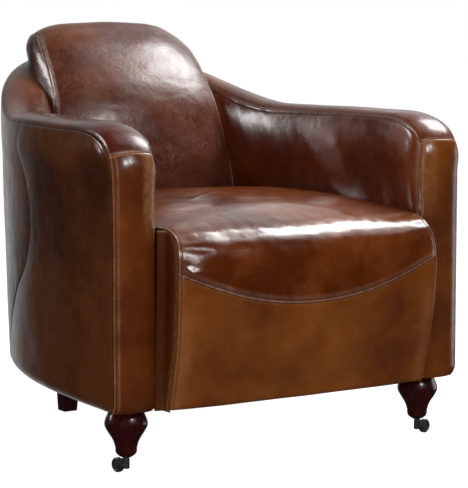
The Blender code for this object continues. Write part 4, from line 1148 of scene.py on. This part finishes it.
def seat_top_shape(grid, edges):
    """Hollows where the sitter's legs rest, fuller corners with drag lines, ridges, and folds on the nose."""
    x, y, z = grid[..., 0], grid[..., 1] - ARM_FRONT_Y, grid[..., 2]
    height = -0.003 * np.exp(-(((np.abs(x) - 0.09) / 0.085) ** 2) - ((y - 0.16) / 0.14) ** 2)
    for side in (-1, 1):
        from_side = edges[0 if side < 0 else 1] / 0.034
        full = 0.0090 if side < 0 else 0.0030  # the left corner is stuffed fuller
        low_down = np.clip((0.396 - z) / 0.037, 0, 1) ** 2
        puffed = full * from_side * np.exp(0.5 * (1 - from_side**2)) * low_down
        height = height + puffed * settle(edges[3], 0.005)
        for number, (lift, reach) in enumerate(((0.4115, 0.055), (0.398, 0.070), (0.375, 0.050))):
            down = 0.010 * number
            start = place(side * (SEAT_HALF - 0.006), -0.040 - down, lift)
            end = place(side * (SEAT_HALF - reach), -0.052 - down, lift + 0.006 - down)
            height = height + crease(grid, [start, end], 0.0045, 0.0010)
    for start, end, width, depth in SEAT_RIDGES:
        height = height + crease(grid, [place(*start), place(*end)], width, depth)
    folds = noise(np.stack([x, 0.12 * y, np.zeros_like(x)], -1), 0.014, 51)
    height = height + 0.0008 * folds * hump(y, -0.024, 0.030) * smooth_step((z - 0.405) / 0.02)
    for x0, x1, level in NOSE_FOLDS:
        middle = place((x0 + x1) / 2, -0.071, level - 0.004)
        path = [place(x0, -0.069, level), middle, place(x1, -0.070, level + 0.001)]
        height = height + crease(grid, path, 0.0040, 0.0008)
    return height


def seat_front_shape(grid, edges):
    """The front panel bags a little above its bottom edge."""
    bagged = 0.0022 * hump(grid[..., 2], 0.165, 0.030) * noise(grid * (1.0, 1.0, 0.2), 0.13, 41)
    return bagged - 0.006 * np.clip(1 - edges[3] / 0.010, 0, 1) ** 2


def apron_painted_reflection(points):
    """A pale band painted down both upright edges of the front panel, low down: a painted reflection of the
    bright floor.
    """
    from_seam = SEAT_HALF - np.abs(points[..., 0])
    return 0.25 * hump(from_seam, 0.016, 0.012) * smooth_step((0.33 - points[..., 2]) / 0.08)


def seat_tone_and_sheen(points):
    """Faded on top; lighter still towards the right, which is a painted sheen from the key lamp's side."""
    x, z = points[..., 0], points[..., 2]
    on_top = (0.22 + 0.40 * smooth_step((x + 0.12) / 0.20)) * smooth_step((z - 0.405) / 0.03)
    return on_top + 0.25 * smooth_step((x - 0.08) / 0.12)


def apron_tone(points):
    """Rubbed evenly warm, with broad clouds."""
    return 0.34 + 0.08 * noise(points, 0.12, 45)


print("folds across the nose:", len(NOSE_FOLDS))

# %% Seat top and front panel
SEAT_CORE = (0.0, 0.1, 0.25)
MADE["seat_top"] = panel(
    "leather_seat_top", seat_top, SEAT_HIDE, "leather_seat", SEAT_CORE, step=0.0040,
    seams=(0.8, 0.8, 0, 0.35), stitched=(1, 1, 0, 1), rubbed_and_lit=(2.2, 1.6, 0, 2.2), plump=0.0012, slack=0.0018,
    pucker=0.0011, shape=seat_top_shape, tone=seat_tone_and_sheen)
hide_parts("seat_cover_top", "seat_foam")
MADE["seat_front"] = panel(
    "leather_seat_front", seat_front, FRONT_HIDE, "leather_front", SEAT_CORE, step=0.0040, seams=(1, 1, 1, 0),
    stitched=(1, 0, 0, 0), rubbed_and_lit=(1.0, 0.6, 0.5, 0), plump=0.0016, slack=0.0014, shape=seat_front_shape,
    tone=apron_tone, worn_and_lit=apron_painted_reflection)
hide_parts("seat_cover_front")

# %% Side gussets of the nose
nose_t = np.linspace(0.3, 1.0, 400)
nose_y, nose_z = (through(SEAT_KNOTS, np.array(SEAT_SIDE)[:, axis], nose_t) for axis in (0, 1))
falling = nose_t > 0.65  # where the profile goes down
NOSE_FRONT = (-nose_z[falling], nose_y[falling])
GUSSET_BACK = 0.003
# Where a gusset's top edge ends and starts.
forward = nose_t < 0.72  # where the profile goes forward
T_BACK, T_TURN = np.interp([-GUSSET_BACK, 0.030], -nose_y[forward], nose_t[forward])


def gusset(side):
    """The flat end of the nose: a from its front seam to its rear edge, where it turns out to the arm."""
    seam = lambda t: seat_sheet(np.full(np.shape(t), side), np.asarray(t)) - (side * 0.0005, -0.001, 0.0015)
    front = lambda b: seam(1 + (T_TURN - 1) * np.asarray(b))
    top = lambda a: seam(T_TURN + (T_BACK - T_TURN) * np.asarray(a))
    low = seam(1.0)
    low_back = low + (0.0, GUSSET_BACK + ARM_FRONT_Y - low[1], 0.0)
    spread = patch(front, straight(low_back, top(1.0)), straight(low, low_back), top)

    def surface(a, b):
        outward = 0.014 * smooth_step((a - 0.72) / 0.28) ** 1.5
        return spread(a, b) + outward[..., None] * np.array([side, 0.0, 0.0])

    return surface


def gusset_wear(points):
    """The gusset is chafed paler beside its front seam."""
    behind = points[..., 1] - ARM_FRONT_Y - np.interp(-points[..., 2], *NOSE_FRONT)
    return 0.5 * np.exp(-np.maximum(behind - 0.004, 0) / 0.012)


# Each gusset's low tone is painted shade: it sits in shadow beside the arm's front.
for label, side in SIDES.items():
    MADE["gusset_" + label] = panel(
        f"leather_gusset_{label}", gusset(side), FRONT_HIDE, "leather_front", (0.0, 0.0, 0.25), step=0.0040,
        seams=(1, 0, 0, 1), stitched=(1, 0, 0, 0), plump=0.0012, slack=0.0008, worn_and_lit=gusset_wear,
        tone=even_tone(-0.55))
    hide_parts(f"seat_gusset_{label}")

# %% [markdown]
# ## The inner back and its head roll
#
# The inner back is a tall cushion that ends in a head roll. One hide climbs its front, goes over the roll
# and hangs down behind. Each end of the cushion is closed by a side piece, rounded at the top like the end
# of a bolster.

# %% Inner back
# From the seat up and over: half width, then (y, z) at the side seams, then (y, z) in the middle, then how
# square the crown is across: a high number keeps the top level and turns it down quickly at the seams.
BACK_PROFILE = (
    (0.2040, 0.523, 0.4150, 0.496, 0.4150, 2.2), (0.2030, 0.524, 0.4350, 0.494, 0.4350, 2.2),
    (0.1970, 0.529, 0.5000, 0.494, 0.5000, 2.2), (0.1880, 0.543, 0.5600, 0.505, 0.5600, 2.2),
    (0.1790, 0.561, 0.6200, 0.526, 0.6200, 2.3), (0.1720, 0.594, 0.6700, 0.556, 0.6680, 2.5),
    (0.1665, 0.629, 0.7095, 0.588, 0.7070, 2.9), (0.1600, 0.657, 0.7310, 0.620, 0.7360, 3.5),
    (0.1525, 0.686, 0.7470, 0.664, 0.7610, 4.4), (0.1490, 0.712, 0.7515, 0.714, 0.7710, 5.2),
    (0.1480, 0.736, 0.7450, 0.748, 0.7570, 5.0), (0.1450, 0.749, 0.7300, 0.762, 0.7350, 4.5),
    (0.1440, 0.752, 0.7075, 0.7635, 0.7075, 4.5))
HALF_WIDTHS, BACK_MIDDLE = np.array(BACK_PROFILE)[:, 0], np.array(BACK_PROFILE)[:, 3:5]
BACK_KNOTS = np.concatenate([[0.0], np.cumsum(np.linalg.norm(np.diff(BACK_MIDDLE, axis=0), axis=1))])
BACK_KNOTS /= BACK_KNOTS[-1]


def back_sheet(a, b):
    """The inner back: a across from left to right, b from the seat up, over the roll and down behind."""
    across = 2 * a - 1
    half, side_y, side_z, middle_y, middle_z, power = np.moveaxis(through(BACK_KNOTS, BACK_PROFILE, b), -1, 0)
    crown = 1 - np.abs(across) ** power
    return place(half * across, side_y + (middle_y - side_y) * crown, side_z + (middle_z - side_z) * crown)


def over_back(x, t):
    """A place on the inner back: x from the middle, t from 0 to 1 along BACK_KNOTS."""
    half = through(BACK_KNOTS, HALF_WIDTHS, np.asarray(t))
    return back_sheet(np.asarray(x / half / 2 + 0.5), np.asarray(t))


print("top of the head roll at z", max(row[4] for row in BACK_PROFILE))

# %% Folds of the inner back
# Faint cross folds, from one x to another and from one t to another.
BACK_FOLDS = ((-0.13, -0.02, 0.37, 0.35), (0.0, 0.13, 0.39, 0.42), (-0.09, 0.05, 0.29, 0.31),
              (0.04, 0.15, 0.47, 0.44), (-0.14, -0.06, 0.50, 0.53), (0.02, 0.12, 0.33, 0.30))
ROLL_RIDGE = ((0.015, 0.715), (0.06, 0.712), (0.10, 0.705), (0.135, 0.690))  # (x, t)


def back_shape(grid, edges):
    """Full above the sitter's shoulders, hollow below, with cross folds and a ridge where the roll begins."""
    x, z = grid[..., 0], grid[..., 2]
    height = 0.0022 * np.exp(-(((z - 0.66) / 0.035) ** 2) - (x / 0.16) ** 2)
    height -= 0.0022 * np.exp(-(((z - 0.555) / 0.035) ** 2) - (x / 0.13) ** 2)
    for x0, x1, t0, t1 in BACK_FOLDS:
        path = [over_back(x0, t0), over_back((x0 + x1) / 2, (t0 + t1) / 2 - 0.008), over_back(x1, t1)]
        height += crease(grid, path, 0.0060, 0.0003)
    ridge = [over_back(x, t) for x, t in ROLL_RIDGE]
    height += crease(grid, ridge, 0.0024, -0.0008)
    return height + crease(grid, [p + (0.0, -0.003, -0.005) for p in ridge], 0.0028, 0.0008)


BACK_CORE = (0.0, ARM_FRONT_Y + 0.66, 0.60)
MADE["back_front"] = panel(
    "leather_inner_back", back_sheet, BACK_HIDE, "leather_back", BACK_CORE, step=0.0038,
    seams=(0.5, 0.5, 0, 0), rubbed_and_lit=(3.0, 2.0, 0, 0), plump=0.0014, slack=0.0020, pucker=0.0010,
    shape=back_shape,
    tone=lambda p: 0.5 * smooth_step((p[..., 2] - 0.70) / 0.05) * smooth_step((0.02 - p[..., 0]) / 0.15))
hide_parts("back_cover_front", "back_foam")

# %% Ends of the inner back
SIDE_TURN, SIDE_END = BACK_KNOTS[8] - 0.01, BACK_KNOTS[11]  # where a side piece's top edge starts and ends
SIDE_REAR = ((0.200, 0.655, 0.4150), (0.190, 0.664, 0.5200), (0.180, 0.680, 0.6100), (0.170, 0.698, 0.6800),
             (0.164, 0.712, 0.6960), (0.157, 0.729, 0.7020), (0.149, 0.746, 0.7120))
BACK_SIDE_KNOTS = np.array([0.0, 0.27, 0.50, 0.71, 0.79, 0.87, 0.95])


def back_end(side):
    """The closed end of the cushion, which swells outward a little more round the roll."""
    edge = np.asarray(0.5 + 0.5 * side)
    seam = lambda t: back_sheet(np.broadcast_to(edge, np.shape(t)), np.asarray(t))
    x, y, z = np.array(SIDE_REAR).T
    last = seam(np.asarray(SIDE_END))
    rear = np.concatenate([place(side * x, y, z), last[None]])
    rear_at = lambda t: through(np.append(BACK_SIDE_KNOTS, 1.0), rear, np.asarray(t))
    front = lambda t: seam(SIDE_TURN * np.asarray(t))
    top = lambda t: seam(SIDE_TURN + (SIDE_END - SIDE_TURN) * np.asarray(t))
    bottom = straight(front(0.0), rear_at(0.0))
    spread = patch(front, rear_at, bottom, top)

    def surface(a, b):
        swell = 0.005 + 0.008 * smooth_step((b - 0.15) / 0.55)
        near_top = 1 - np.clip((1 - b) / 0.11, 0, 1)
        outward = swell * np.sqrt(1 - near_top**2) * 4 * a * (1 - a)
        return spread(a, b) + outward[..., None] * np.array([side, 0.0, 0.0])

    return surface


for label, side in SIDES.items():
    MADE["back_end_" + label] = panel(
        f"leather_back_end_{label}", back_end(side), BACK_HIDE, "leather_back",
        (side * 0.05, ARM_FRONT_Y + 0.66, 0.58), step=0.0038, seams=(0.4, 0, 0, 0.6), stitched=(1, 0, 0, 1),
        rubbed_and_lit=(4.0, 0, 0, 2.0), plump=0.0012, slack=0.0016, pucker=0.0012, tone=even_tone(-0.2))
    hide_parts("back_boxing")

# %% [markdown]
# ## Turned feet
#
# The front feet are turned mahogany: a narrow ankle above the caster, a swelling like a pear, and a short
# neck under the rail. A lathe's work is a profile spun round an axis, so the profile is smoothed and spun
# in fine steps.

# %% Front feet
# The profile is in (height above the foot's lower end, radius).
FOOT_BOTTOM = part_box("front_foot_left")[0].z
FOOT_PROFILE = ((0.0, 0.0120), (0.0040, 0.0165), (0.0165, 0.0193), (0.0287, 0.0233), (0.0348, 0.0267),
                (0.0410, 0.0308), (0.0470, 0.0343), (0.0530, 0.0372), (0.0593, 0.0379), (0.0654, 0.0364),
                (0.0727, 0.0334), (0.0837, 0.0280))


def turned(name, profile, centre, material, slot, steps=90, segments=96):
    """A profile of (height, radius) spun round an upright axis."""
    heights, radii = np.array(profile).T
    at = np.linspace(heights[0], heights[-1], steps)
    around = np.linspace(0, 2 * np.pi, segments, endpoint=False)
    radius = through(heights, radii, at)[:, None]
    x, y = centre[0] + radius * np.cos(around), centre[1] + radius * np.sin(around)
    points = np.stack([x, y, np.broadcast_to((centre[2] + at)[:, None], x.shape)], -1).reshape(-1, 3)
    index = np.arange(steps * segments).reshape(steps, segments)
    beside = np.roll(index, -1, axis=1)
    faces = list(np.stack([index[:-1], beside[:-1], beside[1:], index[1:]], -1).reshape(-1, 4))
    faces += [index[0][::-1], index[-1]]
    print(f"{name}: {len(faces)} faces, widest {2000 * float(radius.max()):.0f} mm")
    return add_mesh(name, points, faces, material, slot)


for label in SIDES:
    low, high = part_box("front_foot_" + label)
    foot_centre = ((low.x + high.x) / 2, (low.y + high.y) / 2, FOOT_BOTTOM)
    foot = turned("turned_foot_" + label, FOOT_PROFILE, foot_centre, MAHOGANY, "mahogany")
    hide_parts("front_foot_" + label)

# %% [markdown]
# ## Stitching
#
# The thread rows come straight from the finished panels, a fixed distance from each seam.

# %% Thread rows
for label in SIDES:
    sew(f"stitching_facing_{label}", [row_of(MADE["facing_" + label], edge) for edge in ("a0", "a1")],
        THREAD, "leather_front")
    sew(f"stitching_inside_arm_{label}", [row_of(MADE["inside_" + label], "b1")], THREAD, "leather_arm")
    sew(f"stitching_gusset_{label}", [row_of(MADE["gusset_" + label], "a0")], THREAD, "leather_front")
    sew(f"stitching_back_end_{label}", [row_of(MADE["back_end_" + label], edge) for edge in ("a0", "b1")],
        THREAD, "leather_back")
sew("stitching_seat", [row_of(MADE["seat_top"], edge) for edge in ("a0", "a1", "b1")], THREAD, "leather_seat")
sew("stitching_seat_front", [row_of(MADE["seat_front"], "a0")], THREAD, "leather_front")

# %% [markdown]
# ## Studio
#
# A white floor, a white backdrop and a dim room. Glossy leather is drawn by what it reflects, so the room
# stays dark and a few soft lamps make the highlights: a broad one on the right for the nose of the seat, the
# arms' corners and the head roll, small ones in front for the seat's corners, two on the left that the
# inside of the far arm mirrors, and a faint glow behind.

# %% Floor
FLOOR_HALF = 30.0  # half of its side, in metres
floor_corners = [(x * FLOOR_HALF, y * FLOOR_HALF, 0) for x, y in ((-1, -1), (1, -1), (1, 1), (-1, 1))]
floor_mesh = bpy.data.meshes.new("studio_floor")
floor_mesh.from_pydata(floor_corners, [], [(0, 1, 2, 3)])
floor = bpy.data.objects.new("studio_floor", floor_mesh)
bpy.context.collection.objects.link(floor)
sweep = {"Base Color": linear("#8C8C8C"), "Roughness": 0.9, "Emission Color": linear("#FFFFFF")}
floor_material, floor_tree, floor_shader, _ = new_material("backlit_white_sweep", sweep)
seen = node(floor_tree, "LightPath")["Is Camera Ray"]
backlight = node(floor_tree, "MapRange", {"Value": seen, 3: 0.30, 4: 0.99})[0]
floor_tree.links.new(backlight, floor_shader.inputs["Emission Strength"])
floor.data.materials.append(floor_material)
floor_material.cycles.emission_sampling = "NONE"
floor.visible_glossy = False
print("floor:", 2 * FLOOR_HALF, "m across")

# %% A soft lamp
def softbox(name, azimuth, elevation, distance, size, brightness, mirrored, lights):
    """A soft lamp that faces the chair. azimuth turns from +Y towards +X, and brightness is that of its face.

    Gloss doesn't mirror a lamp that isn't mirrored, like a fill lamp behind a big diffuser. A lamp that
    doesn't light is only a bright card for the gloss to mirror."""
    data = bpy.data.lights.new(name, "AREA")
    data.shape = "RECTANGLE"
    data.size, data.size_y = size
    data.energy = math.pi * size[0] * size[1] * brightness
    lamp = bpy.data.objects.new(name, data)
    turn, rise = math.radians(azimuth), math.radians(elevation)
    lamp.location = (distance * math.sin(turn) * math.cos(rise), distance * math.cos(turn) * math.cos(rise),
                     0.45 + distance * math.sin(rise))
    lamp.rotation_euler = (math.pi / 2 - rise, 0.0, math.pi - turn)
    lamp.visible_camera = False
    lamp.visible_glossy = mirrored
    lamp.visible_diffuse = lights
    bpy.context.collection.objects.link(lamp)


# %% Lamps
# Each lamp: azimuth, elevation, distance, size in metres, brightness, whether gloss mirrors it, and whether
# it lights.
LAMPS = {
    "key_window_right": (86, 47, 2.6, (1.20, 1.20), 14.0, True, True),
    "key_surround": (62, 40, 2.8, (2.4, 2.2), 0.7, True, True),
    "right_bounce": (112, 50, 2.8, (1.0, 1.2), 2.0, True, True),
    "ceiling_glow": (100, 76, 2.4, (1.4, 1.2), 1.0, True, True),
    "right_low_panel": (98, -2, 3.0, (1.6, 1.5), 1.5, True, True),
    "left_window": (-63, 36.5, 2.45, (1.0, 0.5), 22.0, True, False),
    "front_glint": (180, 28, 2.8, (0.35, 0.45), 32.0, True, False),
    "rear_ceiling": (-8, 45, 3.0, (2.4, 1.8), 0.3, True, True),
    "left_card": (-55, 13, 2.9, (0.25, 0.3), 20.0, True, False),
    "key_edge": (107, 55, 2.7, (0.40, 0.45), 8.0, True, False),
    "corner_glint": (167, 31, 2.8, (0.22, 0.45), 30.0, True, False),
    "front_fill": (196, 34, 2.8, (2.4, 2.0), 1.7, False, True),
    "low_fill": (218, 5, 3.0, (3.0, 1.4), 3.0, False, True),
}
for name, lamp in LAMPS.items():
    softbox(name, *lamp)
print("lamps:", len(LAMPS))

# %% Room
world = bpy.data.worlds.new("studio_room")
bpy.context.scene.world = world
world.use_nodes = True
room = world.node_tree
room.nodes.clear()
BEHIND = (0.453, 0.890, 0.052)  # the direction of the glow, behind the chair and a little up
# Its brightness, by the cosine of the angle away from that direction.
GLOW = [(0.0, 0.012), (0.72, 0.015), (0.80, 0.07), (0.87, 0.30), (0.93, 0.50), (1.0, 0.70)]
direction = node(room, "TexCoord")["Generated"]
toward = node(room, "VectorMath", {0: direction, 1: BEHIND}, operation="DOT_PRODUCT")["Value"]
glow = node(room, "ValToRGB", {"Fac": toward}, stops=GLOW)["Color"]
seen = node(room, "LightPath")["Is Camera Ray"]
dim = node(room, "Background", {"Color": glow, "Strength": 1.0})[0]
white = node(room, "Background", {"Color": (1.0, 1.0, 1.0, 1.0), "Strength": 1.0})[0]
both = node(room, "MixShader", {0: seen, 1: dim, 2: white})[0]
node(room, "OutputWorld", {"Surface": both})
bpy.context.scene.view_settings.view_transform = "Standard"
print("room nodes:", len(room.nodes))

# %% [markdown]
# ## Triangle count
#
# The number of triangles in all the pieces made here.

# %% Triangle count
print("triangles", sum(len(o.data.loops) - 2 * len(o.data.polygons) for o in PIECES))
